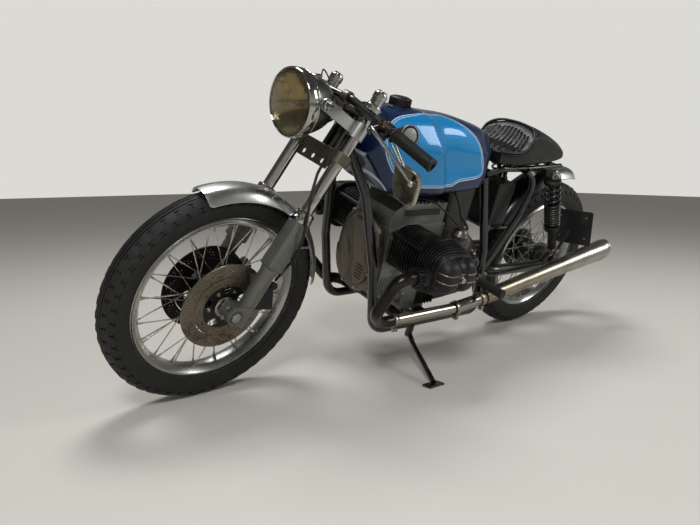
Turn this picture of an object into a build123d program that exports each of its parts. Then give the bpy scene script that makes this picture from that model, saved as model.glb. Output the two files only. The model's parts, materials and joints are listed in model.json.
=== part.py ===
"""Cafe racer motorcycle with a flat twin engine, leaning on its side stand.

Every piece is modelled upright, in millimetres: X forward from the rear axle, Y to the left,
Z up from the ground. The finished pieces are then leaned as the parked machine leans.
"""
from build123d import *
from math import asin, cos, degrees, radians, sin, sqrt
import os

# Chassis
WHEELBASE = 1465
RAKE = 28
TRAIL = 95
LEAN = 18.7
STEER_AT_REST = 5
FORK_OFFSET = 36
FORK_HALF_SPAN = 95

# Wheels: radii are measured from the axle
FRONT_TYRE_RADIUS = 328
REAR_TYRE_RADIUS = 324
FRONT_TYRE_CROWN = 46
REAR_TYRE_CROWN = 52
FRONT_RIM_RADIUS = 254
REAR_RIM_RADIUS = 241
RIM_FLANGE = 6
RIM_DEPTH = 28
FRONT_RIM_HALF_WIDTH = 31
REAR_RIM_HALF_WIDTH = 36
SPOKES_PER_WHEEL = 40
SPOKE_RADIUS = 1.9
AXLE_RADIUS = 8.5
AXLE_CLEARANCE = 0.3
FRONT_HUB_RADIUS = 27
REAR_HUB_RADIUS = 48
HUB_FLANGE = 5
FRONT_FLANGE_OFFSET = 30
REAR_FLANGE_OFFSET = 38
DISC_RADIUS = 130
DISC_INNER_RADIUS = 84
DISC_THICKNESS = 4.5
DISC_OFFSET = 57
CARRIER_THICKNESS = 4
CALLIPER_SIDE_GAP = 5
CALLIPER_RADIAL_GAP = 5

# Fork, heights along the steering axis
LOWER_YOKE_HEIGHT = 832
LOWER_YOKE_THICKNESS = 30
TOP_YOKE_HEIGHT = 974
TOP_YOKE_THICKNESS = 16
HEAD_TUBE_RADIUS = 27
STEM_RADIUS = 14
STEM_CLEARANCE = 0.3
HEAD_GAP = 1
STANCHION_RADIUS = 18
STANCHION_BOTTOM = 600
STANCHION_ABOVE_YOKE = 66
CAP_RADIUS = 20
CAP_HEIGHT = 20
SLIDER_RADIUS = 25
SLIDER_TOP = 676
SLIDER_BOTTOM = 312
SLIDER_STEP = 486
SLIDER_BODY = 30
COLLAR_RADIUS = 29
COLLAR_HEIGHT = 24
YOKE_CLAMP_RADIUS = 28
STEERING_LOCK = 33
LOCK_CLEARANCE = 6

# Frame tubes
MAIN_TUBE = 15
BACKBONE_RADIUS = 21
RAIL_TUBE = 11
SEAT_RAIL_SPAN = 86
SEAT_RAIL_HEIGHT = 727
SWINGARM_TUBE = 22
SHAFT_HOUSING_RADIUS = 28
PIVOT_X = 428
PIVOT_HEIGHT = 330
RAIL_HEIGHT = 190
RAIL_HALF_SPAN = 130

# Engine
CYLINDER_HEIGHT = 478
LEFT_CYLINDER_X = 860
RIGHT_CYLINDER_X = 822
WIDTH_OVER_COVERS = 746
CASE_HALF_WIDTH = 100
BARREL_RADIUS = 55
FIN_THICKNESS = 3.5
BARREL_FIN_WIDTH = 150
BARREL_FINS = 9
HEAD_FIN_WIDTH = 196
HEAD_FIN_HEIGHT = 176
HEAD_FINS = 4
COVER_DEPTH = 56
COVER_WIDTH = 200
FRONT_COVER_RADIUS = 128
FRONT_COVER_DEPTH = 46
FRONT_COVER_HEIGHT = 418
CASE_RIBS = 9
CASE_FRONT = 938
CASE_REAR = 700
GEARBOX_REAR = 455

# Exhaust
HEADER_RADIUS = 19
SILENCER_FRONT_RADIUS = 26
SILENCER_RADIUS = 44
SILENCER_WALL = 2

# Tank, seat and lamp
TANK_HALF_WIDTH = 138
LAMP_RADIUS = 89
LAMP_AHEAD_OF_BOLT = 45
LAMP_BELOW_BOLT = 23
LAMP_DEPTH = 130
SHELL_RADIUS = 85

# Rear shocks
SHOCK_OFFSET = 132
SHOCK_TOP = (232, 722)
SHOCK_BOTTOM = (62, 404)
SPRING_RADIUS = 27
SPRING_WIRE = 4.5

# Side stand
STAND_PIVOT = (770, 134, 152)
STAND_BOSS = 24
STAND_BOSS_RADIUS = 13
STAND_PIN_RADIUS = 6
STAND_PIN_CLEARANCE = 0.3
STAND_FOOT = (880, 384)
STAND_TUBE = 9
ENGINE_LUG_PLACES = (725, 785)
FOLD_WAY = Vector(-250, 24, 0)

STANCHION_TOP = TOP_YOKE_HEIGHT + STANCHION_ABOVE_YOKE
HEAD_BOTTOM = LOWER_YOKE_HEIGHT + LOWER_YOKE_THICKNESS + HEAD_GAP
HEAD_LENGTH = TOP_YOKE_HEIGHT - HEAD_GAP - HEAD_BOTTOM

FRONT_AXLE = Vector(WHEELBASE, 0, FRONT_TYRE_RADIUS)
REAR_AXLE = Vector(0, 0, REAR_TYRE_RADIUS)
STEER_BASE = Vector(WHEELBASE + TRAIL, 0, 0)
STEER_UP = Vector(-sin(radians(RAKE)), 0, cos(radians(RAKE)))

# Across the fork: local x runs forward, local y to the left, heights along the steering axis
fork = Plane(origin=STEER_BASE, x_dir=(cos(radians(RAKE)), 0, sin(radians(RAKE))), z_dir=STEER_UP)


def fork_point(forward, left, height):
    """Give the upright place of a point named in the fork's own directions."""
    return fork.from_local_coords(Vector(forward, left, height))


def turn_about(origin, direction, angle):
    """Give the location that turns pieces about an axis by an angle in degrees."""
    return Location(Plane(origin=origin, z_dir=direction)) * Location((0, 0, 0), (0, 0, angle)) \
        * Location(Plane(origin=origin, z_dir=direction)).inverse()


steer_turn = turn_about(STEER_BASE, STEER_UP, STEER_AT_REST)
lean_turn = Location((0, 0, 0), (-LEAN, 0, 0))


def lowest_of_ring(place, centre, radius):
    """Give the height of the lowest point of a ring about the Y direction, once it is placed."""
    middle = (place * Location(centre)).position
    axle = (place * Location(centre + Vector(0, 1, 0))).position - middle
    return middle.Z - radius * sqrt(1 - axle.Z ** 2)


TREAD_STEP = LEAN
front_ring = FRONT_TYRE_RADIUS - FRONT_TYRE_CROWN * (1 - cos(radians(TREAD_STEP)))
rear_ring = REAR_TYRE_RADIUS - REAR_TYRE_CROWN * (1 - cos(radians(TREAD_STEP)))
front_side = Vector(0, FRONT_TYRE_CROWN * sin(radians(TREAD_STEP)), 0)
rear_side = Vector(0, REAR_TYRE_CROWN * sin(radians(TREAD_STEP)), 0)
front_low = lowest_of_ring(lean_turn * steer_turn, FRONT_AXLE + front_side, front_ring)
rear_low = lowest_of_ring(lean_turn, REAR_AXLE + rear_side, rear_ring)
nose_down = Location((0, 0, 0), (0, degrees(asin((front_low - rear_low) / WHEELBASE)), 0))
parked = Location((0, 0, -rear_low)) * nose_down * lean_turn
steered = parked * steer_turn

pieces = []


def keep(builder, name, place):
    """Name a finished piece and note how it is placed on the parked machine."""
    builder.part.label = name
    pieces.append((name, builder.part, place))


def tube(points, radius, bends=60, mode=Mode.ADD):
    """Run a round tube along straight runs joined by arcs."""
    if len(points) == 2:
        path = Wire([Edge.make_line(points[0], points[1])])
    else:
        with BuildLine(mode=Mode.PRIVATE) as run:
            FilletPolyline(*points, radius=bends)
        path = run.wires()[0]
    with BuildSketch(Plane(origin=path @ 0, z_dir=path % 0), mode=Mode.PRIVATE) as ring:
        Circle(radius)
    sweep(ring.sketch.faces(), path=path, mode=mode)


def rod(start, end, radius, mode=Mode.ADD):
    """Add a straight round bar between two points."""
    way = Vector(*end) - Vector(*start)
    with BuildSketch(Plane(origin=start, z_dir=way), mode=Mode.PRIVATE) as ring:
        Circle(radius)
    extrude(ring.sketch, amount=way.length, mode=mode)


def block(centre, size, mode=Mode.ADD):
    """Add a plain block by its middle and its sizes along X, Y and Z."""
    with Locations(Vector(*centre)):
        Box(*size, mode=mode)


def turned(origin, way, profile, mode=Mode.ADD):
    """Turn a piece from its profile: pairs of distance along the axis and radius."""
    along = Vector(*way).normalized()
    across = Vector(0, 1, 0) if abs(along.Y) < 0.9 else Vector(0, 0, 1)
    outward = (across - along * across.dot(along)).normalized()
    corners = [(profile[0][0], 0)] + list(profile) + [(profile[-1][0], 0)]
    with BuildSketch(Plane(origin=origin, x_dir=along, z_dir=along.cross(outward)),
                     mode=Mode.PRIVATE) as half:
        with BuildLine():
            Polyline(*corners, close=True)
        make_face()
    revolve(half.sketch, axis=Axis(origin, along), mode=mode)


def tread_points(radius, crown, bead_radius, bead_half_width, flange):
    """Give a tyre section's corners: across from the axle line, and out from the axle."""
    angles = [TREAD_STEP * step for step in (-3.7, -2, -1, 1, 2, 3.7)]
    arc = [(crown * sin(radians(a)), radius - crown + crown * cos(radians(a))) for a in angles]
    lip = bead_half_width - flange
    return [(-lip, bead_radius)] + [(-lip, bead_radius + flange * 2)] + arc \
        + [(lip, bead_radius + flange * 2), (lip, bead_radius)]


def build_wheel(prefix, centre, tyre_radius, crown, rim_radius, rim_half, hub_radius,
                flange_offset, place):
    """Make a wire wheel: tyre, rim and crossed spokes."""
    across = Plane(origin=centre, x_dir=(0, 1, 0), z_dir=(1, 0, 0))
    axle = Axis(centre, (0, 1, 0))
    bead = rim_radius - 2 * RIM_FLANGE
    floor = rim_radius - RIM_DEPTH
    with BuildPart() as tyre:
        with BuildSketch(across):
            with BuildLine():
                Polyline(*tread_points(tyre_radius, crown, bead, rim_half, RIM_FLANGE), close=True)
            make_face()
        revolve(axis=axle)
    keep(tyre, prefix + "_tyre", place)

    with BuildPart() as rim:
        with BuildSketch(across):
            with BuildLine():
                Polyline(
                    (-rim_half, rim_radius), (-rim_half + RIM_FLANGE, rim_radius),
                    (-rim_half + RIM_FLANGE, bead), (rim_half - RIM_FLANGE, bead),
                    (rim_half - RIM_FLANGE, rim_radius), (rim_half, rim_radius),
                    (rim_half, bead), (rim_half / 2, floor), (-rim_half / 2, floor),
                    (-rim_half, bead), close=True)
            make_face()
        revolve(axis=axle)
    keep(rim, prefix + "_rim", place)

    # Each flange laces its spokes forward and backward, in from its two faces
    flange_radius = hub_radius + 10
    sweep_angle = 72
    turn = 360 / SPOKES_PER_WHEEL
    with BuildPart() as spokes:
        for side in (-1, 1):
            for lead, shift, start in ((-1, -1, 0), (1, 1, 2)):
                start += side
                foot = side * (flange_offset + shift * (HUB_FLANGE / 2 + SPOKE_RADIUS * 0.6))
                for step in range(SPOKES_PER_WHEEL // 4):
                    angle = radians(turn * (4 * step + start))
                    reach = angle + radians(lead * sweep_angle)
                    inner = centre + Vector(flange_radius * cos(angle), foot,
                                            flange_radius * sin(angle))
                    seat = side * (rim_half / 5 + shift * SPOKE_RADIUS * 1.2)
                    outer = centre + Vector((floor + 3) * cos(reach), seat,
                                            (floor + 3) * sin(reach))
                    with BuildSketch(Plane(origin=inner, z_dir=outer - inner)):
                        RegularPolygon(SPOKE_RADIUS, 6)
                    extrude(amount=(outer - inner).length)
        with BuildSketch(Plane(origin=centre, z_dir=(0, 1, 0))):
            Circle(floor)
        extrude(amount=rim_half, both=True, mode=Mode.INTERSECT)
        for side in (-1, 1):
            with BuildSketch(Plane(origin=centre + Vector(0, side * flange_offset, 0),
                                   z_dir=(0, 1, 0))):
                Circle(hub_radius + 16)
            extrude(amount=HUB_FLANGE / 2, both=True, mode=Mode.SUBTRACT)
    keep(spokes, prefix + "_spokes", place)


build_wheel("front", FRONT_AXLE, FRONT_TYRE_RADIUS, FRONT_TYRE_CROWN, FRONT_RIM_RADIUS,
            FRONT_RIM_HALF_WIDTH, FRONT_HUB_RADIUS, FRONT_FLANGE_OFFSET, steered)
build_wheel("rear", REAR_AXLE, REAR_TYRE_RADIUS, REAR_TYRE_CROWN, REAR_RIM_RADIUS,
            REAR_RIM_HALF_WIDTH, REAR_HUB_RADIUS, REAR_FLANGE_OFFSET, parked)


def build_hub(name, centre, hub_radius, flange_offset, end_left, end_right, carriers, place):
    """Make a hub with two spoke flanges, disc carriers and a bore that runs on the axle."""
    with BuildPart() as hub:
        with BuildSketch(Plane(origin=centre + Vector(0, end_right, 0), z_dir=(0, 1, 0))):
            Circle(hub_radius)
        extrude(amount=end_left - end_right)
        for side in (-1, 1):
            with BuildSketch(Plane(origin=centre + Vector(0, side * flange_offset, 0),
                                   z_dir=(0, 1, 0))):
                Circle(hub_radius + 16)
            extrude(amount=HUB_FLANGE / 2, both=True)
        for side in carriers:
            with BuildSketch(Plane(origin=centre + Vector(0, side * DISC_OFFSET, 0),
                                   z_dir=(0, side, 0))):
                Circle(DISC_INNER_RADIUS)
                with PolarLocations((DISC_INNER_RADIUS + hub_radius) / 2, 5):
                    Circle(13, mode=Mode.SUBTRACT)
            extrude(amount=CARRIER_THICKNESS / 2, both=True)
        with BuildSketch(Plane(origin=centre + Vector(0, end_right, 0), z_dir=(0, 1, 0))):
            Circle(AXLE_RADIUS + AXLE_CLEARANCE)
        extrude(amount=end_left - end_right, mode=Mode.SUBTRACT)
    keep(hub, name, place)


HUB_END = DISC_OFFSET + DISC_THICKNESS / 2
build_hub("front_hub", FRONT_AXLE, FRONT_HUB_RADIUS, FRONT_FLANGE_OFFSET, HUB_END, -HUB_END,
          (-1, 1), steered)
build_hub("rear_hub", REAR_AXLE, REAR_HUB_RADIUS, REAR_FLANGE_OFFSET, 62, -50, (), parked)

with BuildPart() as discs:
    for side in (-1, 1):
        with BuildSketch(Plane(origin=FRONT_AXLE + Vector(0, side * DISC_OFFSET, 0),
                               z_dir=(0, side, 0))):
            Circle(DISC_RADIUS)
            Circle(DISC_INNER_RADIUS, mode=Mode.SUBTRACT)
        extrude(amount=DISC_THICKNESS / 2, both=True)
keep(discs, "front_brake_discs", steered)

# Fork: axle, sliders, stanchions and yokes
axle_forward, _, axle_height = fork.to_local_coords(FRONT_AXLE)
SLIDER_FACE = FORK_HALF_SPAN + 26
CALLIPER_ARM = (-28, 446)

with BuildPart() as front_axle:
    with BuildSketch(Plane(origin=FRONT_AXLE, z_dir=(0, 1, 0))):
        Circle(AXLE_RADIUS)
    extrude(amount=SLIDER_FACE, both=True)
keep(front_axle, "front_axle", steered)

with BuildPart() as sliders:
    leg_length = SLIDER_TOP - SLIDER_BOTTOM
    step = SLIDER_STEP - SLIDER_BOTTOM
    for side in (-1, 1):
        turned(fork_point(FORK_OFFSET, side * FORK_HALF_SPAN, SLIDER_BOTTOM), STEER_UP,
               ((0, SLIDER_RADIUS - 3), (8, SLIDER_RADIUS), (step - 6, SLIDER_RADIUS),
                (step, SLIDER_BODY), (leg_length - COLLAR_HEIGHT - 20, SLIDER_BODY),
                (leg_length - COLLAR_HEIGHT, SLIDER_RADIUS + 1),
                (leg_length - COLLAR_HEIGHT, COLLAR_RADIUS), (leg_length, COLLAR_RADIUS)))
        # Axle clamp ahead of the leg
        with BuildSketch(Plane(origin=FRONT_AXLE + Vector(0, side * (FORK_HALF_SPAN - 22), 0),
                               x_dir=fork.x_dir, z_dir=(0, side, 0))):
            Circle(24)
            with Locations((-(axle_forward - FORK_OFFSET) / 2, 0)):
                Rectangle(axle_forward - FORK_OFFSET, 40)
        extrude(amount=SLIDER_FACE - FORK_HALF_SPAN + 22)
        # Calliper lug behind the leg
        with BuildSketch(Plane(origin=fork_point(0, side * (FORK_HALF_SPAN - 10), 0),
                               x_dir=fork.x_dir, z_dir=(0, side, 0))):
            with BuildLine():
                Polyline(*[(forward, -side * height) for forward, height in
                           ((FORK_OFFSET, 520), (-12, 476), (-44, 470), (-44, 420),
                            (-12, 400), (FORK_OFFSET, 380))],
                         close=True)
            make_face()
        extrude(amount=14)
    with BuildSketch(Plane(origin=FRONT_AXLE, z_dir=(0, 1, 0))):
        Circle(AXLE_RADIUS)
    extrude(amount=SLIDER_FACE, both=True, mode=Mode.SUBTRACT)
    with BuildSketch(fork.offset(STANCHION_BOTTOM)):
        for side in (-1, 1):
            with Locations((FORK_OFFSET, side * FORK_HALF_SPAN)):
                Circle(STANCHION_RADIUS)
    extrude(amount=SLIDER_TOP - STANCHION_BOTTOM, mode=Mode.SUBTRACT)
keep(sliders, "fork_sliders", steered)

with BuildPart() as stanchions:
    with BuildSketch(fork.offset(STANCHION_BOTTOM)):
        for side in (-1, 1):
            with Locations((FORK_OFFSET, side * FORK_HALF_SPAN)):
                Circle(STANCHION_RADIUS)
    extrude(amount=STANCHION_TOP - STANCHION_BOTTOM)
    for side in (-1, 1):
        with BuildSketch(fork.offset(STANCHION_TOP)):
            with Locations((FORK_OFFSET, side * FORK_HALF_SPAN)):
                Circle(CAP_RADIUS)
        extrude(amount=CAP_HEIGHT / 2)
        with BuildSketch(fork.offset(STANCHION_TOP + CAP_HEIGHT / 2)):
            with Locations((FORK_OFFSET, side * FORK_HALF_SPAN)):
                RegularPolygon(CAP_RADIUS * 0.7, 6)
        extrude(amount=CAP_HEIGHT / 2)
keep(stanchions, "fork_stanchions", steered)

# Callipers: saddles over the discs, behind the legs
CALLIPER_INNER = 38
CALLIPER_OUTER = 82
CALLIPER_ROOT = 92
CALLIPER_CREST = 152
CALLIPER_ANGLES = (126, 162)
with BuildPart() as callipers:
    for side in (-1, 1):
        across = Plane(origin=FRONT_AXLE + Vector(0, side * CALLIPER_INNER, 0),
                       x_dir=fork.x_dir, z_dir=(0, side, 0))
        corners = [(radius * cos(radians(angle)), -side * radius * sin(radians(angle)))
                   for angle, radius in ((CALLIPER_ANGLES[0], CALLIPER_ROOT),
                                         (CALLIPER_ANGLES[0], CALLIPER_CREST),
                                         (CALLIPER_ANGLES[1], CALLIPER_CREST),
                                         (CALLIPER_ANGLES[1], CALLIPER_ROOT))]
        with BuildSketch(across):
            with BuildLine():
                Polyline(*corners, close=True)
            make_face()
        extrude(amount=CALLIPER_OUTER - CALLIPER_INNER)
        with BuildSketch(across.offset(DISC_OFFSET - CALLIPER_INNER)):
            Circle(DISC_RADIUS + CALLIPER_RADIAL_GAP)
        extrude(amount=DISC_THICKNESS / 2 + CALLIPER_SIDE_GAP, both=True, mode=Mode.SUBTRACT)
        # Arm to the leg
        rod(fork_point(CALLIPER_ARM[0], side * (CALLIPER_OUTER - 8), CALLIPER_ARM[1]),
            fork_point(CALLIPER_ARM[0], side * (FORK_HALF_SPAN - 4), CALLIPER_ARM[1]), 12)
    add(sliders.part, mode=Mode.SUBTRACT)
keep(callipers, "front_callipers", steered)


def yoke_plate(height, thickness, waist):
    """Draw a yoke across both legs and the stem, bored for the stanchions."""
    with BuildSketch(fork.offset(height), mode=Mode.PRIVATE) as plate:
        with Locations((FORK_OFFSET, -FORK_HALF_SPAN), (FORK_OFFSET, FORK_HALF_SPAN)):
            Circle(YOKE_CLAMP_RADIUS)
        with Locations((FORK_OFFSET * 0.6, 0)):
            Rectangle(waist, 2 * FORK_HALF_SPAN)
        Circle(HEAD_TUBE_RADIUS)
        with Locations((FORK_OFFSET, -FORK_HALF_SPAN), (FORK_OFFSET, FORK_HALF_SPAN)):
            Circle(STANCHION_RADIUS, mode=Mode.SUBTRACT)
    extrude(plate.sketch, amount=thickness)


with BuildPart() as lower_yoke:
    yoke_plate(LOWER_YOKE_HEIGHT, LOWER_YOKE_THICKNESS, 44)
    # Drilled gusset under the yoke
    with BuildSketch(Plane(origin=fork_point(FORK_OFFSET, 0, LOWER_YOKE_HEIGHT),
                           x_dir=(0, 1, 0), z_dir=fork.x_dir)):
        with BuildLine():
            Polyline((-74, 2), (-66, -30), (66, -30), (74, 2), close=True)
        make_face()
        with Locations((-42, -14), (0, -14), (42, -14)):
            Circle(8, mode=Mode.SUBTRACT)
    extrude(amount=6)
    # Steering stem
    with BuildSketch(fork.offset(LOWER_YOKE_HEIGHT)):
        Circle(STEM_RADIUS)
    extrude(amount=TOP_YOKE_HEIGHT - LOWER_YOKE_HEIGHT)
keep(lower_yoke, "lower_yoke", steered)

# Handlebar: one low tube held ahead of the top yoke
BAR_RADIUS = 11
BAR_BORE_RADIUS = 8.5
BAR_BORE_DEPTH = 70
BAR_FORWARD = 98
BAR_HEIGHT = TOP_YOKE_HEIGHT + 18
BAR_HALF_CENTRE = 78
BAR_END = (1117, 340, 838)
GRIP_RADIUS = 17
PERCH_IN = 168
PERCH_WIDTH = 30
bar_bend = fork_point(BAR_FORWARD, BAR_HALF_CENTRE, BAR_HEIGHT)


def other_side(point):
    """Mirror a point to the other side of the machine."""
    return (point[0], -point[1], point[2])


def bar_point(offset):
    """Give the point of the left bar at a distance in from its end."""
    way = (Vector(*bar_bend) - Vector(*BAR_END)).normalized()
    return Vector(*BAR_END) + way * offset


with BuildPart() as handlebar:
    tube([other_side(BAR_END), (bar_bend.X, -bar_bend.Y, bar_bend.Z), bar_bend, BAR_END],
         BAR_RADIUS, bends=30)
    for side in (-1, 1):
        mouth = Vector(BAR_END[0], side * BAR_END[1], BAR_END[2])
        inside = Vector(bar_bend.X, side * bar_bend.Y, bar_bend.Z) - mouth
        rod(mouth, mouth + inside.normalized() * BAR_BORE_DEPTH, BAR_BORE_RADIUS,
            mode=Mode.SUBTRACT)
    # Lever perches on both sides
    inner = bar_point(PERCH_IN)
    outer = bar_point(PERCH_IN - PERCH_WIDTH)
    with BuildPart(mode=Mode.PRIVATE) as perch:
        rod(inner, outer, BAR_RADIUS + 6)
        rod(inner + Vector(8, 0, -4), inner + Vector(44, -4, -18), 9)
    add(perch.part)
    add(perch.part.mirror(Plane.XZ))
keep(handlebar, "handlebar", steered)

with BuildPart() as top_yoke:
    yoke_plate(TOP_YOKE_HEIGHT, TOP_YOKE_THICKNESS, 40)
    # Stem nut
    with BuildSketch(fork.offset(TOP_YOKE_HEIGHT + TOP_YOKE_THICKNESS)):
        RegularPolygon(17, 6)
    extrude(amount=14)
    # Handlebar clamps
    for side in (-1, 1):
        with BuildSketch(Plane(origin=fork_point(0, side * 42, 0), x_dir=fork.x_dir,
                               z_dir=(0, side, 0))):
            with Locations((BAR_FORWARD, -side * BAR_HEIGHT)):
                Circle(BAR_RADIUS + 7)
            with Locations(((BAR_FORWARD + 26) / 2,
                            -side * (TOP_YOKE_HEIGHT + TOP_YOKE_THICKNESS + 7))):
                Rectangle(BAR_FORWARD - 26, 18)
            with Locations((BAR_FORWARD, -side * BAR_HEIGHT)):
                Circle(BAR_RADIUS, mode=Mode.SUBTRACT)
        extrude(amount=22)
keep(top_yoke, "top_yoke", steered)

GRIP_LENGTH = 128
GRIP_OVERHANG = 6
with BuildPart() as grips:
    start = bar_point(GRIP_LENGTH)
    way = (Vector(*BAR_END) - start).normalized()
    end = start + way * (GRIP_LENGTH + GRIP_OVERHANG)
    rod(start, end, GRIP_RADIUS)
    rod(start, BAR_END, BAR_RADIUS, mode=Mode.SUBTRACT)
    rod(start, end, BAR_BORE_RADIUS + 1, mode=Mode.SUBTRACT)
    mirror(about=Plane.XZ)
keep(grips, "grips", steered)

# Levers: side, and the points from the perch to the ball
LEVERS = ((1, ((1196, 184, 882), (1202, 222, 868), (1186, 282, 828), (1160, 330, 785))),
          (-1, ((1196, -184, 882), (1200, -218, 868), (1180, -262, 842), (1152, -300, 812))))
LEVER_RADIUS = 6
with BuildPart() as levers:
    for side, points in LEVERS:
        tube(points, LEVER_RADIUS, bends=25)
        turned(points[-1], (0, side, 0), ((-9, 3), (-6, 7), (0, 9), (6, 7), (9, 3)))
    add(handlebar.part, mode=Mode.SUBTRACT)
keep(levers, "levers", steered)

# Mirror on two thin stems below the left perch
MIRROR_CENTRE = Vector(1138, 300, 756)
MIRROR_SIZE = (118, 88)
MIRROR_DEPTH = 12
mirror_face = Plane(origin=MIRROR_CENTRE, x_dir=(0.25, 1, 0), z_dir=(1, -0.25, -0.1))
with BuildPart() as bar_mirror:
    with BuildSketch(mirror_face):
        RectangleRounded(*MIRROR_SIZE, 24)
    extrude(amount=MIRROR_DEPTH, taper=12)
    stem_foot = mirror_face.from_local_coords(Vector(-20, 34, 4))
    rod(stem_foot, bar_point(PERCH_IN + 8), 3.5)
    rod(stem_foot + Vector(0, 14, 0), bar_point(PERCH_IN - PERCH_WIDTH - 6), 3.5)
    add(handlebar.part, mode=Mode.SUBTRACT)
    add(levers.part, mode=Mode.SUBTRACT)
    add(grips.part, mode=Mode.SUBTRACT)
keep(bar_mirror, "bar_mirror", steered)

EAR_CLAMP_HEIGHT = 0.39 * HEAD_LENGTH
EAR_HEIGHT = HEAD_BOTTOM + 0.65 * HEAD_LENGTH
EAR_BOLT_FORWARD = 178
EAR_THICKNESS = 5
ear_bolt = fork_point(EAR_BOLT_FORWARD, 0, EAR_HEIGHT)
LAMP_X = ear_bolt.X + LAMP_AHEAD_OF_BOLT
LAMP_HEIGHT = ear_bolt.Z - LAMP_BELOW_BOLT

# Headlamp: shell, rim, lens and ears
with BuildPart() as lamp_shell:
    # Distance back from the rim's plane, and share of the shell's radius
    bowl = ((130, 0.28), (124, 0.45), (112, 0.62), (94, 0.78), (72, 0.9), (46, 0.98), (16, 1))
    turned((LAMP_X, 0, LAMP_HEIGHT), (1, 0, 0),
           [(-back * LAMP_DEPTH / bowl[0][0], share * SHELL_RADIUS) for back, share in bowl])
keep(lamp_shell, "headlamp_shell", steered)

with BuildPart() as lamp_rim:
    with BuildSketch(Plane.XZ):
        with BuildLine():
            Polyline((LAMP_X - 16, LAMP_HEIGHT + LAMP_RADIUS - 12),
                     (LAMP_X - 16, LAMP_HEIGHT + LAMP_RADIUS + 2),
                     (LAMP_X - 2, LAMP_HEIGHT + LAMP_RADIUS),
                     (LAMP_X + 4, LAMP_HEIGHT + LAMP_RADIUS - 12), close=True)
        make_face()
    revolve(axis=Axis((0, 0, LAMP_HEIGHT), (1, 0, 0)))
keep(lamp_rim, "headlamp_rim", steered)

with BuildPart() as lamp_lens:
    edge = LAMP_RADIUS - 12
    turned((LAMP_X, 0, LAMP_HEIGHT), (1, 0, 0),
           ((-16, edge), (4, edge), (10, edge * 0.7), (15, edge * 0.3)))
keep(lamp_lens, "headlamp_lens", steered)

with BuildPart() as lamp_ears:
    for side in (-1, 1):
        with BuildSketch(fork.offset(EAR_HEIGHT - EAR_CLAMP_HEIGHT / 2)):
            with Locations((FORK_OFFSET, side * FORK_HALF_SPAN)):
                Circle(YOKE_CLAMP_RADIUS - 3)
                Circle(STANCHION_RADIUS, mode=Mode.SUBTRACT)
        extrude(amount=EAR_CLAMP_HEIGHT)
        with BuildSketch(Plane(origin=fork_point(0, side * (LAMP_RADIUS + 1), EAR_HEIGHT),
                               x_dir=fork.x_dir, z_dir=(0, side, 0))):
            with Locations((EAR_BOLT_FORWARD / 2 + FORK_OFFSET / 2 + 10, 0)):
                Rectangle(EAR_BOLT_FORWARD - FORK_OFFSET - 20, EAR_CLAMP_HEIGHT * 0.77)
            with Locations((EAR_BOLT_FORWARD, 0)):
                Circle(17)
        extrude(amount=EAR_THICKNESS)
        rod(fork_point(EAR_BOLT_FORWARD, side * 72, EAR_HEIGHT),
            fork_point(EAR_BOLT_FORWARD, side * (LAMP_RADIUS + 12), EAR_HEIGHT), 6)
    add(lamp_shell.part, mode=Mode.SUBTRACT)
keep(lamp_ears, "headlamp_ears", steered)

# Brake hose from the lower yoke to the left calliper, clipped to the leg
HOSE_RADIUS = 4
HOSE_POINTS = [(52, 62, 832), (68, 84, 780), (72, 110, 726), (58, 130, 668), (32, 136, 610),
               (4, 122, 552), (-14, 96, 506), (-24, 78, 462)]
with BuildPart() as brake_hose:
    tube([fork_point(*point) for point in HOSE_POINTS], HOSE_RADIUS, bends=[40, 40, 60, 90, 90, 50])
    add(lower_yoke.part, mode=Mode.SUBTRACT)
    add(callipers.part, mode=Mode.SUBTRACT)
    add(sliders.part, mode=Mode.SUBTRACT)
keep(brake_hose, "brake_hoses", steered)

# Front mudguard: a band round the tyre with its stays
GUARD_RADIUS = FRONT_TYRE_RADIUS + 12
GUARD_HALF_WIDTH = 51
GUARD_SHEET = 2.5
GUARD_FRONT_ANGLE = 75
GUARD_SWEEP = 103


def guard_section(radius, half_width):
    """Give the corners of a mudguard's section: across, and out from the wheel's middle."""
    # Share of the half width, and drop below the crown
    outside = ((-1, 30), (-0.86, 11), (-0.45, 2), (0, 0), (0.45, 2), (0.86, 11), (1, 30))
    skin = [(share * half_width, radius - drop) for share, drop in outside]
    lining = [(share * (half_width - GUARD_SHEET), radius - drop - GUARD_SHEET)
              for share, drop in reversed(outside)]
    return skin + lining


with BuildPart() as front_guard:
    start = Vector(cos(radians(GUARD_FRONT_ANGLE)), 0, sin(radians(GUARD_FRONT_ANGLE)))
    with BuildSketch(Plane(origin=FRONT_AXLE, x_dir=(0, 1, 0), z_dir=Vector(0, 1, 0).cross(start))):
        with BuildLine():
            Polyline(*guard_section(GUARD_RADIUS, GUARD_HALF_WIDTH), close=True)
        make_face()
    revolve(axis=Axis(FRONT_AXLE, (0, -1, 0)), revolution_arc=GUARD_SWEEP)
    # Brackets and rear stays to the legs
    for side in (-1, 1):
        rod(fork_point(FORK_OFFSET, side * (GUARD_HALF_WIDTH - 5), SLIDER_TOP - 34),
            fork_point(FORK_OFFSET, side * (FORK_HALF_SPAN - 20), SLIDER_TOP - 34), 8)
        rod(fork_point(-104, side * (GUARD_HALF_WIDTH - 3), 590),
            fork_point(FORK_OFFSET, side * 86, 548), 4)
    add(sliders.part, mode=Mode.SUBTRACT)
keep(front_guard, "front_mudguard", steered)

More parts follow.
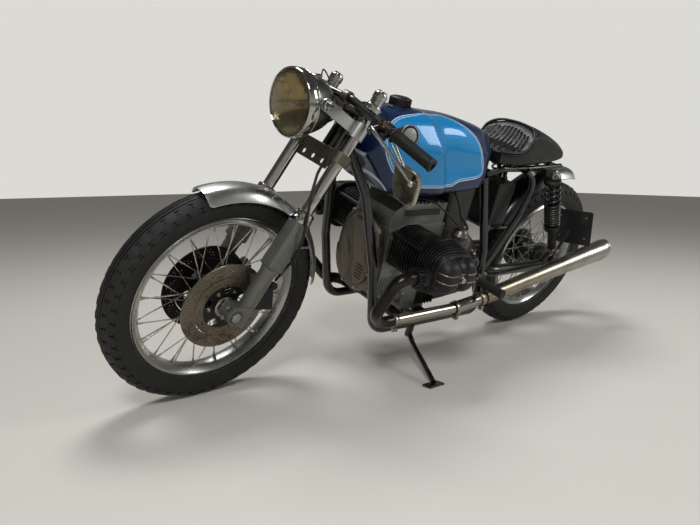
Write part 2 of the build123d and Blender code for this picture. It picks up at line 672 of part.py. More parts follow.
# Frame: head tube, backbone and duplex cradle
TRAY_HEIGHT = 508
KNEE = Vector(1006, RAIL_HALF_SPAN, 430)
RAIL_FRONT = Vector(946, RAIL_HALF_SPAN, RAIL_HEIGHT)
DOWNTUBE = [fork_point(-17, 24, HEAD_BOTTOM + 0.39 * HEAD_LENGTH), (1060, 88, 650), KNEE, RAIL_FRONT + (KNEE - RAIL_FRONT) * 0.45]
RAIL = [DOWNTUBE[-1], RAIL_FRONT, (520, RAIL_HALF_SPAN, RAIL_HEIGHT)]
UPRIGHT = [RAIL[-1], (440, RAIL_HALF_SPAN, RAIL_HEIGHT), (455, 104, 420), (520, 62, 690)]
BACKBONE = [fork_point(-STEM_RADIUS - 3, 0, HEAD_BOTTOM + HEAD_LENGTH * 0.62), (760, 0, 800), (480, 0, 705)]
TUNNEL_GAP = 6

with BuildPart() as head_tube:
    with BuildSketch(fork.offset(HEAD_BOTTOM)):
        Circle(HEAD_TUBE_RADIUS)
    extrude(amount=HEAD_LENGTH)
    tube(BACKBONE, BACKBONE_RADIUS, bends=400)
    # Rubbers that carry the tank
    for x, z in ((1000, 814), (560, 734)):
        rod((x, -BACKBONE_RADIUS - TUNNEL_GAP, z), (x, BACKBONE_RADIUS + TUNNEL_GAP, z), 10)
    with BuildSketch(fork.offset(HEAD_BOTTOM)):
        Circle(STEM_RADIUS + STEM_CLEARANCE)
    extrude(amount=HEAD_LENGTH, mode=Mode.SUBTRACT)
keep(head_tube, "frame_backbone", parked)

with BuildPart() as downtubes:
    tube(DOWNTUBE, MAIN_TUBE, bends=90)
    mirror(about=Plane.XZ)
    add(head_tube.part, mode=Mode.SUBTRACT)
keep(downtubes, "frame_downtubes", parked)

# Side stand: its foot stands on the ground, which rises to the left in upright places
pivot = Vector(*STAND_PIVOT)
ground = Plane(parked.inverse())


def ground_height(x, y):
    """Give the upright height of the ground under a point of the leaning machine."""
    normal = ground.z_dir
    origin = ground.origin
    return origin.Z - (normal.X * (x - origin.X) + normal.Y * (y - origin.Y)) / normal.Z


foot = Vector(STAND_FOOT[0], STAND_FOOT[1], ground_height(*STAND_FOOT))
leg_end = foot + ground.z_dir * 10
leg_way = leg_end - pivot
stand_axis = leg_way.cross(FOLD_WAY).normalized()

# Engine case with its top cover
with BuildPart() as crankcase:
    with BuildSketch(Plane.XZ.offset(-CASE_HALF_WIDTH)):
        with BuildLine():
            Polyline((CASE_FRONT, 530), (CASE_FRONT, 290), (820, 275), (805, 205),
                     (CASE_REAR, 205), (CASE_REAR, 545), (850, 545), close=True)
        make_face()
    extrude(amount=2 * CASE_HALF_WIDTH)
    with BuildSketch(Plane.XZ.offset(-88)):
        with BuildLine():
            Polyline((935, 528), (925, 590), (890, 612), (700, 612), (700, 540), (850, 540),
                     close=True)
        make_face()
    extrude(amount=176)
    # Ribs over the top cover, and upright ribs on the case's flanks
    for count in range(CASE_RIBS):
        block((886 - count * 18, 0, 613), (5, 172, 10))
        for side in (-1, 1):
            block((CASE_FRONT - 14 - count * 12, side * (CASE_HALF_WIDTH + 1), 330),
                  (4, 6, 70))
    # Blank badge plate on both sides
    for side in (-1, 1):
        block((808, side * 88, 585), (150, 6, 20))
keep(crankcase, "engine_crankcase", parked)

with BuildPart() as rails:
    tube(RAIL, MAIN_TUBE, bends=70)
    mirror(about=Plane.XZ)
    # Engine lugs on top of the rails, and the side stand's pin below the left one
    for side in (-1, 1):
        for x in ENGINE_LUG_PLACES:
            block((x, side * (RAIL_HALF_SPAN + CASE_HALF_WIDTH) / 2, RAIL_HEIGHT + 27),
                  (26, RAIL_HALF_SPAN - CASE_HALF_WIDTH + 16, 30))
    rod(pivot + stand_axis * (STAND_BOSS / 2 + 0.5), pivot + stand_axis * (RAIL_HEIGHT - pivot.Z),
        STAND_BOSS_RADIUS)
    rod(pivot - stand_axis * STAND_BOSS / 2, pivot + stand_axis * (RAIL_HEIGHT - pivot.Z),
        STAND_PIN_RADIUS)
    add(crankcase.part, mode=Mode.SUBTRACT)
keep(rails, "frame_lower_rails", parked)

# Rear shocks
shock_way = Vector(SHOCK_TOP[0] - SHOCK_BOTTOM[0], 0, SHOCK_TOP[1] - SHOCK_BOTTOM[1])
shock_base = Vector(SHOCK_BOTTOM[0], SHOCK_OFFSET, SHOCK_BOTTOM[1])
shock_axis = Plane(origin=shock_base, x_dir=(0, 1, 0), z_dir=shock_way)
# Stages of a shock: share of its length at start and end, radius
SHOCK_STAGES = ((0.0, 0.3, 17), (0.3, 0.36, 30), (0.36, 0.9, 10), (0.9, 0.95, 30),
                (0.95, 1.0, 17))
with BuildPart() as dampers:
    for start, end, radius in SHOCK_STAGES:
        with BuildSketch(shock_axis.offset(start * shock_way.length)):
            Circle(radius)
        extrude(amount=(end - start) * shock_way.length)
    mirror(about=Plane.XZ)
keep(dampers, "shock_dampers", parked)

with BuildPart() as shock_springs:
    with BuildSketch(shock_axis.offset(0.36 * shock_way.length)):
        Circle(SPRING_RADIUS + SPRING_WIRE)
        Circle(SPRING_RADIUS - SPRING_WIRE, mode=Mode.SUBTRACT)
    extrude(amount=0.54 * shock_way.length)
    mirror(about=Plane.XZ)
keep(shock_springs, "shock_springs", parked)

# Swingarm with the drive shaft in its right leg, and the bevel drive
with BuildPart() as swingarm:
    rod((PIVOT_X, -94, PIVOT_HEIGHT), (PIVOT_X, 94, PIVOT_HEIGHT), SWINGARM_TUBE)
    tube([(PIVOT_X, 60, PIVOT_HEIGHT), (PIVOT_X - 60, 102, PIVOT_HEIGHT - 2),
          (0, 102, REAR_TYRE_RADIUS)], SWINGARM_TUBE, bends=60)
    tube([(PIVOT_X, -60, PIVOT_HEIGHT), (PIVOT_X - 60, -102, PIVOT_HEIGHT - 2),
          (70, -102, REAR_TYRE_RADIUS)], SHAFT_HOUSING_RADIUS, bends=60)
    with BuildSketch(Plane(origin=(0, 80, REAR_TYRE_RADIUS), z_dir=(0, 1, 0))):
        Circle(30)
    extrude(amount=44)
    with BuildSketch(Plane(origin=(0, 0, REAR_TYRE_RADIUS), z_dir=(0, 1, 0))):
        Circle(AXLE_RADIUS)
    extrude(amount=140, mode=Mode.SUBTRACT)
    # Lower shock mounts
    for side in (-1, 1):
        rod((SHOCK_BOTTOM[0], side * 106, REAR_TYRE_RADIUS + 8),
            (SHOCK_BOTTOM[0], side * SHOCK_OFFSET, SHOCK_BOTTOM[1] + 6), 10)
    add(dampers.part, mode=Mode.SUBTRACT)
keep(swingarm, "swingarm", parked)

with BuildPart() as uprights:
    tube(UPRIGHT, MAIN_TUBE, bends=38)
    mirror(about=Plane.XZ)
    # Battery tray and swingarm pivot lugs
    block((405, 0, TRAY_HEIGHT - 4), (120, 186, 8))
    for side in (-1, 1):
        block((436, side * 106, PIVOT_HEIGHT), (60, 18, 56))
        block((466, side * 88, TRAY_HEIGHT - 4), (30, 16, 30))
    block((506, 0, 704), (30, 120, 22))
    add(head_tube.part, mode=Mode.SUBTRACT)
    add(swingarm.part, mode=Mode.SUBTRACT)
keep(uprights, "frame_rear_uprights", parked)

# Rear subframe: seat rails, struts and cross tubes
with BuildPart() as seat_rails:
    tube([(512, 62, 700), (470, SEAT_RAIL_SPAN, SEAT_RAIL_HEIGHT),
          (330, SEAT_RAIL_SPAN, SEAT_RAIL_HEIGHT), (130, SEAT_RAIL_SPAN, SEAT_RAIL_HEIGHT + 10)],
         RAIL_TUBE, bends=40)
    tube([(352, 106, SEAT_RAIL_HEIGHT), (300, 118, 690), (345, 124, 560), (440, 114, 352)],
         RAIL_TUBE, bends=60)
    for x, width in ((352, 40), (SHOCK_TOP[0], 64)):
        block((x, SEAT_RAIL_SPAN + width / 2 - 8, SEAT_RAIL_HEIGHT - 4), (26, width, 14))
    mirror(about=Plane.XZ)
    for x, rise in ((330, 0), (150, 9)):
        rod((x, -SEAT_RAIL_SPAN, SEAT_RAIL_HEIGHT + rise),
            (x, SEAT_RAIL_SPAN, SEAT_RAIL_HEIGHT + rise), RAIL_TUBE - 2)
    add(uprights.part, mode=Mode.SUBTRACT)
    add(dampers.part, mode=Mode.SUBTRACT)
keep(seat_rails, "rear_subframe", parked)

# Engine front cover, gearbox and cylinders
with BuildPart() as front_cover:
    turned((CASE_FRONT, 0, FRONT_COVER_HEIGHT), (1, 0, 0),
           ((0, FRONT_COVER_RADIUS), (FRONT_COVER_DEPTH - 12, FRONT_COVER_RADIUS - 2),
            (FRONT_COVER_DEPTH - 3, FRONT_COVER_RADIUS - 9),
            (FRONT_COVER_DEPTH, FRONT_COVER_RADIUS - 18)))
    # Cooling slots low on both sides
    for side in (-1, 1):
        for drop in (34, 50, 66):
            block((CASE_FRONT + 16, side * 122, FRONT_COVER_HEIGHT - drop), (30, 60, 6),
                  mode=Mode.SUBTRACT)
    add(downtubes.part, mode=Mode.SUBTRACT)
keep(front_cover, "engine_front_cover", parked)

with BuildPart() as gearbox:
    with BuildSketch(Plane.XZ.offset(-84)):
        with BuildLine():
            Polyline((CASE_REAR, 230), (520, 245), (GEARBOX_REAR + 30, 275),
                     (GEARBOX_REAR + 30, 440), (560, 500), (CASE_REAR, 520), close=True)
        make_face()
    extrude(amount=168)
keep(gearbox, "gearbox", parked)

WIDTH_HALF = WIDTH_OVER_COVERS / 2
COVER_BASE = WIDTH_HALF - COVER_DEPTH
HEAD_BASE = COVER_BASE - 70
PORT_SPAN = 285
INTAKE_SPAN = 278
INTAKE_STUB = 12
PORT_HEIGHT = CYLINDER_HEIGHT - 14
# Each cylinder: side and its place along the machine
CYLINDERS = ((1, LEFT_CYLINDER_X), (-1, RIGHT_CYLINDER_X))


def outward(side, middle, distance):
    """Give the plane across a cylinder at a distance from the machine's middle."""
    return Plane(origin=(middle, side * distance, CYLINDER_HEIGHT), x_dir=(1, 0, 0),
                 z_dir=(0, side, 0))


def fin(side, middle, distance, width, height, corner, thickness):
    """Add one cooling fin: a plate with cut corners, square to the cylinder."""
    x, z = width / 2, height / 2
    with BuildSketch(outward(side, middle, distance), mode=Mode.PRIVATE) as plate:
        with BuildLine():
            Polyline((x, corner - z), (x, z - corner), (x - corner, z), (corner - x, z),
                     (-x, z - corner), (-x, corner - z), (corner - x, -z), (x - corner, -z),
                     close=True)
        make_face()
    extrude(plate.sketch, amount=thickness)


with BuildPart() as barrels:
    pitch = (HEAD_BASE - CASE_HALF_WIDTH) / (BARREL_FINS + 0.5)
    for side, middle in CYLINDERS:
        with BuildSketch(outward(side, middle, CASE_HALF_WIDTH)):
            RegularPolygon(BARREL_RADIUS, 16)
        extrude(amount=HEAD_BASE - CASE_HALF_WIDTH)
        for count in range(BARREL_FINS):
            fin(side, middle, CASE_HALF_WIDTH + pitch * (count + 0.5), BARREL_FIN_WIDTH,
                BARREL_FIN_WIDTH, 40, FIN_THICKNESS)
keep(barrels, "cylinder_barrels", parked)

with BuildPart() as heads:
    pitch = (COVER_BASE - HEAD_BASE) / HEAD_FINS
    for side, middle in CYLINDERS:
        with BuildSketch(outward(side, middle, HEAD_BASE)):
            Rectangle(HEAD_FIN_WIDTH - 50, HEAD_FIN_HEIGHT - 44)
        extrude(amount=COVER_BASE - HEAD_BASE)
        for count in range(HEAD_FINS):
            fin(side, middle, HEAD_BASE + pitch * (count + 0.25), HEAD_FIN_WIDTH,
                HEAD_FIN_HEIGHT, 48, FIN_THICKNESS)
        fin(side, middle, COVER_BASE - 6, HEAD_FIN_WIDTH - 16, HEAD_FIN_HEIGHT - 14, 44, 6)
        # Exhaust stub with its finned nut, and the intake stub behind
        turned((middle + HEAD_FIN_WIDTH / 2 - 30, side * PORT_SPAN, PORT_HEIGHT), (1, 0, 0),
               ((0, 25), (32, 25), (32, 30), (38, 30), (38, 27), (42, 27), (42, 30), (48, 30),
                (48, 25), (54, 25)))
        rod((middle - HEAD_FIN_WIDTH / 2 + 30, side * INTAKE_SPAN, CYLINDER_HEIGHT + 8),
            (middle - HEAD_FIN_WIDTH / 2 - INTAKE_STUB, side * INTAKE_SPAN, CYLINDER_HEIGHT + 8), 20)
keep(heads, "cylinder_heads", parked)

# Lobe of a rocker cover: share of its depth, width, height and corner radius there
LOBE_STAGES = ((0, 108, 150, 50), (0.6, 102, 140, 46), (0.88, 78, 112, 36), (0.95, 44, 80, 20))
LOBE_SPAN = 88
RIB_SPACING = 36
RIB_THICKNESS = 8
# Outline of a rib over both lobes: share of the half width, share of the depth
RIB_OUTLINE = ((-1, 0), (-0.97, 0.66), (-0.84, 0.94), (-0.66, 1), (0.66, 1), (0.84, 0.94),
               (0.97, 0.66), (1, 0))
with BuildPart() as rocker_covers:
    for side, middle in CYLINDERS:
        for lobe in (-1, 1):
            with BuildPart(mode=Mode.PRIVATE) as half_cover:
                for share, width, tall, corner in LOBE_STAGES:
                    with BuildSketch(outward(side, middle + lobe * LOBE_SPAN / 2,
                                             COVER_BASE + share * COVER_DEPTH)):
                        RectangleRounded(width, tall, corner)
                loft(ruled=True)
            add(half_cover.part)
        # Two ribs across both lobes
        corners = [(middle + across * COVER_WIDTH / 2, side * (COVER_BASE + out * COVER_DEPTH))
                   for across, out in RIB_OUTLINE]
        for height in (-RIB_SPACING / 2, RIB_SPACING / 2):
            with BuildSketch(Plane.XY.offset(CYLINDER_HEIGHT + height - RIB_THICKNESS / 2)):
                with BuildLine():
                    Polyline(*corners, close=True)
                make_face()
            extrude(amount=RIB_THICKNESS)
        # Middle nut's boss
        rod((middle, side * COVER_BASE, CYLINDER_HEIGHT),
            (middle, side * (COVER_BASE + COVER_DEPTH * 0.9), CYLINDER_HEIGHT), 13)
keep(rocker_covers, "rocker_covers", parked)

# Carburettors with their intake stubs
with BuildPart() as carburettors:
    for side, middle in CYLINDERS:
        port = middle - HEAD_FIN_WIDTH / 2 - INTAKE_STUB
        tube([(port, side * INTAKE_SPAN, CYLINDER_HEIGHT + 8),
              (port - 32, side * INTAKE_SPAN, CYLINDER_HEIGHT + 8),
              (680, side * 147, CYLINDER_HEIGHT + 4)], 17, bends=24)
        rod((700, side * 152, CYLINDER_HEIGHT + 4), (610, side * 128, CYLINDER_HEIGHT + 4), 27)
        rod((655, side * 140, CYLINDER_HEIGHT - 52), (655, side * 140, CYLINDER_HEIGHT + 62), 31)
keep(carburettors, "carburettors", parked)

with BuildPart() as airbox:
    with BuildSketch(Plane.XY.offset(496)):
        with Locations((615, 0)):
            RectangleRounded(130, 150, 20)
    extrude(amount=176)
    add(gearbox.part, mode=Mode.SUBTRACT)
    add(carburettors.part, mode=Mode.SUBTRACT)
keep(airbox, "air_filter_box", parked)

with BuildPart() as battery:
    with BuildSketch(Plane.XY.offset(TRAY_HEIGHT)):
        with Locations((395, 0)):
            RectangleRounded(90, 160, 12)
    extrude(amount=160)
keep(battery, "battery", parked)

# Exhaust: two headers into one silencer on the left
LEFT_PORT = (LEFT_CYLINDER_X + HEAD_FIN_WIDTH / 2, PORT_SPAN, PORT_HEIGHT)
RIGHT_PORT = (RIGHT_CYLINDER_X + HEAD_FIN_WIDTH / 2, -PORT_SPAN, PORT_HEIGHT)
COLLECTOR = (600, 175, 246)
SILENCER_START = (468, 178, 270)
SILENCER_END = (-212, 204, 422)
SILENCER_MOUTH = (-196, 204, 422)
MOUTH_WAY = (-0.75, 0.05, -0.66)
with BuildPart() as header_left:
    tube([LEFT_PORT, (1048, 282, 448), (1034, 215, 262), (930, 176, 246), COLLECTOR],
         HEADER_RADIUS, bends=[58, 58, 40])
    rod(COLLECTOR, SILENCER_START, HEADER_RADIUS + 3)
    add(heads.part, mode=Mode.SUBTRACT)
keep(header_left, "left_header", parked)

with BuildPart() as header_right:
    tube([RIGHT_PORT, (1014, -282, 448), (998, -215, 262), (880, -168, 228), (845, -60, 228),
          (845, 175, 228)], HEADER_RADIUS, bends=[58, 58, 44, 44])
    add(heads.part, mode=Mode.SUBTRACT)
    add(header_left.part, mode=Mode.SUBTRACT)
keep(header_right, "right_header", parked)

with BuildPart() as silencer:
    way = Vector(*SILENCER_END) - Vector(*SILENCER_START)
    # Share of the length, and radius there
    turned(SILENCER_START, way, [(share * way.length, radius) for share, radius in
                                 ((0, SILENCER_FRONT_RADIUS), (0.05, SILENCER_FRONT_RADIUS + 6),
                                  (0.55, SILENCER_RADIUS - 5), (0.97, SILENCER_RADIUS),
                                  (1.02, SILENCER_RADIUS))])
    turned(SILENCER_START, way, ((way.length - 120, SILENCER_RADIUS - 8),
                                 (way.length + 60, SILENCER_RADIUS - SILENCER_WALL)),
           mode=Mode.SUBTRACT)
    # Slanted mouth
    with BuildSketch(Plane(origin=SILENCER_MOUTH, z_dir=MOUTH_WAY)):
        Rectangle(300, 300)
    extrude(amount=120, mode=Mode.SUBTRACT)
    # Hanger to the left foot peg's plate
    rod((455, 172, 285), (482, 150, 325), 6)
    add(header_left.part, mode=Mode.SUBTRACT)
keep(silencer, "silencer", parked)

# Fuel hoses from the taps to the carburettors, and the throttle cables over the engine
FUEL_HOSE = [(690, 96, 655), (676, 116, 620), (668, 132, 580), (648, 150, 552), (640, 158, 528)]
CABLE = [(842, 62, 610), (812, 84, 630), (770, 108, 618), (724, 132, 584), (690, 146, 556),
         (672, 148, 536)]
with BuildPart() as fuel_hoses:
    tube(FUEL_HOSE, 4.5, bends=[34, 40, 30])
    mirror(about=Plane.XZ)
    for side in (-1, 1):
        rod((690, side * 96, 652), (690, side * 96, 684), 8)
    add(carburettors.part, mode=Mode.SUBTRACT)
keep(fuel_hoses, "fuel_hoses", parked)

with BuildPart() as cables:
    tube(CABLE, 3, bends=[34, 60, 80, 40])
    mirror(about=Plane.XZ)
    add(crankcase.part, mode=Mode.SUBTRACT)
    add(carburettors.part, mode=Mode.SUBTRACT)
    add(fuel_hoses.part, mode=Mode.SUBTRACT)
keep(cables, "cables", parked)

# Bevel drive on the end of the shaft
with BuildPart() as bevel_drive:
    with BuildSketch(Plane(origin=(0, -64, REAR_TYRE_RADIUS), z_dir=(0, -1, 0))):
        Circle(86)
    with BuildSketch(Plane(origin=(0, -134, REAR_TYRE_RADIUS), z_dir=(0, -1, 0))):
        Circle(50)
    loft()
    with BuildSketch(Plane(origin=(0, 0, REAR_TYRE_RADIUS), z_dir=(0, -1, 0))):
        Circle(AXLE_RADIUS)
    extrude(amount=140, mode=Mode.SUBTRACT)
    add(swingarm.part, mode=Mode.SUBTRACT)
    add(dampers.part, mode=Mode.SUBTRACT)
keep(bevel_drive, "bevel_drive", parked)

with BuildPart() as rear_axle:
    with BuildSketch(Plane(origin=REAR_AXLE, z_dir=(0, 1, 0))):
        Circle(AXLE_RADIUS)
    extrude(amount=134, both=True)
keep(rear_axle, "rear_axle", parked)

# Rear mudguard
REAR_GUARD_RADIUS = 372
REAR_GUARD_HALF_WIDTH = 66
with BuildPart() as rear_guard:
    start = Vector(cos(radians(24)), 0, sin(radians(24)))
    guard_centre = REAR_AXLE + Vector(0, 0, 14)
    with BuildSketch(Plane(origin=guard_centre, x_dir=(0, 1, 0),
                           z_dir=Vector(0, 1, 0).cross(start))):
        with BuildLine():
            Polyline(*guard_section(REAR_GUARD_RADIUS, REAR_GUARD_HALF_WIDTH), close=True)
        make_face()
    revolve(axis=Axis(guard_centre, (0, -1, 0)), revolution_arc=72)
    # Posts up to the seat rails' cross tubes
    rod((150, 0, 672), (150, 0, SEAT_RAIL_HEIGHT + 9), 8)
    rod((318, 0, 518), (330, 0, SEAT_RAIL_HEIGHT), 8)
    add(seat_rails.part, mode=Mode.SUBTRACT)
keep(rear_guard, "rear_mudguard", parked)

# Tank: rounded sections from front to rear, with the knee recess behind the widest one
# Place along the machine, bottom, top, half width at the bottom, middle and top
TANK_SECTIONS = ((1116, 812, 872, 76, 88, 66), (1060, 738, 889, 96, 116, 80),
                 (1010, 668, 895, 106, 128, 88), (930, 675, 895, 122, TANK_HALF_WIDTH, 96), (840, 674, 891, 126, 136, 94),
                 (800, 676, 887, 118, 118, 86), (700, 684, 878, 110, 108, 76),
                 (600, 692, 861, 100, 100, 66), (534, 716, 836, 86, 88, 52),
                 (497, 762, 806, 60, 62, 36))
TANK_CORNER = 18
with BuildPart() as tank:
    for x, bottom, top, low, middle, high in TANK_SECTIONS:
        tall = top - bottom
        side_points = ((low - 14, bottom), (low, bottom + tall * 0.12),
                       (middle, bottom + tall * 0.52), (high + 8, top - tall * 0.14), (high - 30, top - 2))
        outline = [(y, z) for y, z in side_points] + [(-y, z) for y, z in reversed(side_points)]
        with BuildSketch(Plane(origin=(x, 0, 0), x_dir=(0, 1, 0), z_dir=(1, 0, 0))) as section:
            with BuildLine():
                Polyline(*outline, close=True)
            make_face()
            fillet(section.vertices(), radius=min(TANK_CORNER, tall * 0.1))
    loft(ruled=True)
    tube(BACKBONE, BACKBONE_RADIUS + TUNNEL_GAP, bends=400, mode=Mode.SUBTRACT)
    with BuildSketch(Plane.XZ.offset(-(BACKBONE_RADIUS + TUNNEL_GAP))):
        with BuildLine():
            Polyline((1120, 860), (1060, 860), (760, 800), (480, 705), (480, 600), (1120, 600),
                     close=True)
        make_face()
    extrude(amount=2 * (BACKBONE_RADIUS + TUNNEL_GAP), mode=Mode.SUBTRACT)
    # Flat front that the yokes clear at full lock
    swing = radians(STEERING_LOCK)
    reach = FORK_HALF_SPAN * sin(swing) - FORK_OFFSET * cos(swing) + YOKE_CLAMP_RADIUS \
        + LOCK_CLEARANCE
    with BuildSketch(Plane(origin=fork_point(-reach, 0, LOWER_YOKE_HEIGHT), x_dir=(0, 1, 0),
                           z_dir=fork.x_dir)):
        Rectangle(400, 800)
    extrude(amount=300, mode=Mode.SUBTRACT)
    add(head_tube.part, mode=Mode.SUBTRACT)
keep(tank, "fuel_tank", parked)

with BuildPart() as filler_cap:
    with BuildSketch(Plane.XY.offset(886)):
        with Locations((928, 0)):
            Circle(33)
    extrude(amount=37)
    add(tank.part, mode=Mode.SUBTRACT)
keep(filler_cap, "filler_cap", parked)

# Seat with its hump, in rounded sections from front to rear
# Place along the machine, bottom, top, half width
SEAT_SECTIONS = ((494, 742, 802, 90), (440, 742, 800, 104), (352, 744, 818, 112),
                 (330, 744, 862, 112), (300, 746, 880, 110), (205, 752, 858, 100),
                 (118, 758, 816, 78), (60, 760, 776, 46), (40, 752, 760, 30))
with BuildPart() as seat:
    for x, bottom, top, half in SEAT_SECTIONS:
        tall = top - bottom
        corners = [(half, bottom), (half, top - tall * 0.34), (half * 0.62, top),
                   (-half * 0.62, top), (-half, top - tall * 0.34), (-half, bottom)]
        with BuildSketch(Plane(origin=(x, 0, 0), x_dir=(0, 1, 0), z_dir=(1, 0, 0))) as section:
            with BuildLine():
                Polyline(*corners, close=True)
            make_face()
            fillet(section.vertices(), radius=min(14, tall * 0.2))
    loft(ruled=True)
    # Feet on the seat rails
    for x in (200, 420):
        with BuildPart(mode=Mode.PRIVATE) as feet:
            for side in (-1, 1):
                block((x, side * SEAT_RAIL_SPAN, SEAT_RAIL_HEIGHT + 24), (24, 16, 44))
            add(seat_rails.part, mode=Mode.SUBTRACT)
        add(feet.part)
keep(seat, "seat", parked)

# Foot pegs
with BuildPart() as pegs:
    rod((452, 116, 330), (500, 140, 330), 9)
    rod((500, 118, 330), (500, 152, 330), 12)
    rod((500, 152, 330), (488, 262, 326), 13)
    mirror(about=Plane.XZ)
    add(uprights.part, mode=Mode.SUBTRACT)
    add(gearbox.part, mode=Mode.SUBTRACT)
    add(silencer.part, mode=Mode.SUBTRACT)
keep(pegs, "foot_pegs", parked)

# Number plate on its arm behind the left shock
PLATE_CENTRE = Vector(22, 160, 512)
with BuildPart() as plate:
    with BuildSketch(Plane(origin=PLATE_CENTRE, x_dir=(0, cos(radians(15)), sin(radians(15))),
                           z_dir=(-1, 0, 0))):
        RectangleRounded(165, 132, 8)
    extrude(amount=3)
    rod((27, 150, 470), (16, 112, 336), 6)
    rod((27, 150, 468), (27, 155, 500), 6)
    add(swingarm.part, mode=Mode.SUBTRACT)
keep(plate, "number_plate", parked)

# Side stand
with BuildPart() as side_stand:
    rod(pivot - stand_axis * STAND_BOSS / 2, pivot + stand_axis * STAND_BOSS / 2,
        STAND_BOSS_RADIUS)
    tube([pivot, pivot + Vector(8, 40, -22), leg_end], STAND_TUBE, bends=18)
    with BuildSketch(Plane(origin=foot, z_dir=ground.z_dir)):
        Rectangle(34, 62)
    extrude(amount=6)
    with BuildSketch(Plane(origin=foot, z_dir=ground.z_dir)):
        Rectangle(400, 400)
    extrude(amount=-60, mode=Mode.SUBTRACT)
    rod(pivot - stand_axis * STAND_BOSS, pivot + stand_axis * STAND_BOSS,
        STAND_PIN_RADIUS + STAND_PIN_CLEARANCE, mode=Mode.SUBTRACT)
keep(side_stand, "side_stand", parked)

# Origin: under the middle of the parked machine's box
os.makedirs("parts", exist_ok=True)
for name, part, place in pieces:
    part.move(place)
box = Compound([part for name, part, place in pieces]).bounding_box()
to_origin = Vector(-(box.min.X + box.max.X) / 2, -(box.min.Y + box.max.Y) / 2, -box.min.Z)
for name, part, place in pieces:
    part.move(Location(to_origin))
    export_step(part, f"parts/{name}.step")


def placed_point(place, point):
    """Give a point of the upright model in the finished frame, in metres."""
    return [round(v / 1000, 6) for v in tuple((place * Location(point)).position + to_origin)]


def placed_way(place, way):
    """Give a direction of the upright model in the finished frame."""
    start = (place * Location((0, 0, 0))).position
    end = (place * Location(way)).position
    return [round(v, 6) for v in tuple((end - start).normalized())]


print("stand axis", placed_way(parked, stand_axis))
print("fold angle", leg_way.get_angle(FOLD_WAY))
for side, word in ((1, "left"), (-1, "right")):
    mouth = Vector(BAR_END[0], side * BAR_END[1], BAR_END[2])
    inside = Vector(bar_bend.X, side * bar_bend.Y, bar_bend.Z) - mouth
    print("bar end", word, placed_point(steered, mouth), placed_way(steered, inside * -1))
print("plate face", placed_point(parked, PLATE_CENTRE - Vector(3, 0, 0)),
      placed_way(parked, (-1, 0, 0)))
print("size", [round(v, 1) for v in tuple(box.size)], "shift", to_origin)
print("front axle", placed_point(steered, FRONT_AXLE), placed_way(steered, (0, 1, 0)))
print("rear axle", placed_point(parked, REAR_AXLE), placed_way(parked, (0, 1, 0)))
print("steering", placed_point(parked, STEER_BASE), placed_way(parked, STEER_UP))
print("stand pivot", placed_point(parked, pivot))
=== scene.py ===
# %% [markdown]
# # A cafe racer motorcycle, dressed in Blender
# The solids of the machine come in as a fixed frame. This lesson gives each of them a real
# finish, and makes the tread, lacing, fins, stitches, hoses and bolts that solids leave out.

# %% Load the frame
import json
from math import atan2, cos, exp, hypot, pi, radians, sin, sqrt, tan, tau

import bmesh
import bpy
from mathutils import Matrix, Vector
from mathutils.bvhtree import BVHTree


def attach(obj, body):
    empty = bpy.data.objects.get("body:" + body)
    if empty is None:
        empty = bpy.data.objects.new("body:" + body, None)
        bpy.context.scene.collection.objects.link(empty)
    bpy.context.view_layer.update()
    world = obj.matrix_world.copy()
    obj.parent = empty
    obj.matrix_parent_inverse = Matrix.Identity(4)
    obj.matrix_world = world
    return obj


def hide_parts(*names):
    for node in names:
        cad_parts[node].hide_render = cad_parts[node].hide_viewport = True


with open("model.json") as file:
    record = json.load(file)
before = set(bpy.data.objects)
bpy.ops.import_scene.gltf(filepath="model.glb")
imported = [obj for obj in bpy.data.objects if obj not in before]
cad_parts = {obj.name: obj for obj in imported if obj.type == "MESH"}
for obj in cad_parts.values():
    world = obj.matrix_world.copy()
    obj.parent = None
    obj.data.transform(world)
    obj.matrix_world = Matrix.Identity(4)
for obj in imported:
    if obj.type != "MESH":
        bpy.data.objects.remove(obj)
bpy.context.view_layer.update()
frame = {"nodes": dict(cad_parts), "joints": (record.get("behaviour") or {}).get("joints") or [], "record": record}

scene = bpy.context.scene
parts = frame["nodes"]
joints = {joint["name"]: joint for joint in frame["joints"]}

# %% [markdown]
# The machine leans on its side stand and its bars are turned a little. Every piece here is
# worked out upright and straight ahead, in millimetres, as a designer draws it: X runs forward
# from the rear axle, Y to the left, Z up. Two matrices then lay it where the frame stands.

# %% Upright drawing to parked machine
LEAN = 18.7
NOSE_DOWN = 0.082
RAKE = 28
STEER = 5
REAR_AXLE = Vector((0, 0, 324))
FRONT_AXLE = Vector((1465, 0, 328))
STEER_BASE = Vector((1560, 0, 0))

tilt = Matrix.Rotation(radians(NOSE_DOWN), 4, "Y") @ Matrix.Rotation(radians(-LEAN), 4, "X")
rear_place = Vector(joints["rear_wheel_spin"]["pos_m"])
millimetres = Matrix.Scale(0.001, 4)
parked = Matrix.Translation(rear_place - tilt @ (REAR_AXLE * 0.001)) @ tilt @ millimetres
steer_up = Vector((-sin(radians(RAKE)), 0, cos(radians(RAKE))))
steer_out = Vector((cos(radians(RAKE)), 0, sin(radians(RAKE))))
steered = (parked @ Matrix.Translation(STEER_BASE) @ Matrix.Rotation(radians(STEER), 4, steer_up)
           @ Matrix.Translation(-STEER_BASE))
PLACE_OF_BODY = {"chassis": parked, "rear_wheel": parked, "steering": steered,
    "front_wheel": steered}


def fork_point(forward, left, height):
    """Give the upright place of a point named along and across the fork."""
    return STEER_BASE + steer_out * forward + Vector((0, left, 0)) + steer_up * height


front_error = (steered @ FRONT_AXLE) - Vector(joints["front_wheel_spin"]["pos_m"])
print("front axle is off by", round(front_error.length * 1000, 3), "mm")

# %% Camera at the photograph's view
PHOTO_WIDTH, PHOTO_HEIGHT = 700, 525
LENS, SENSOR = 31.51, 36


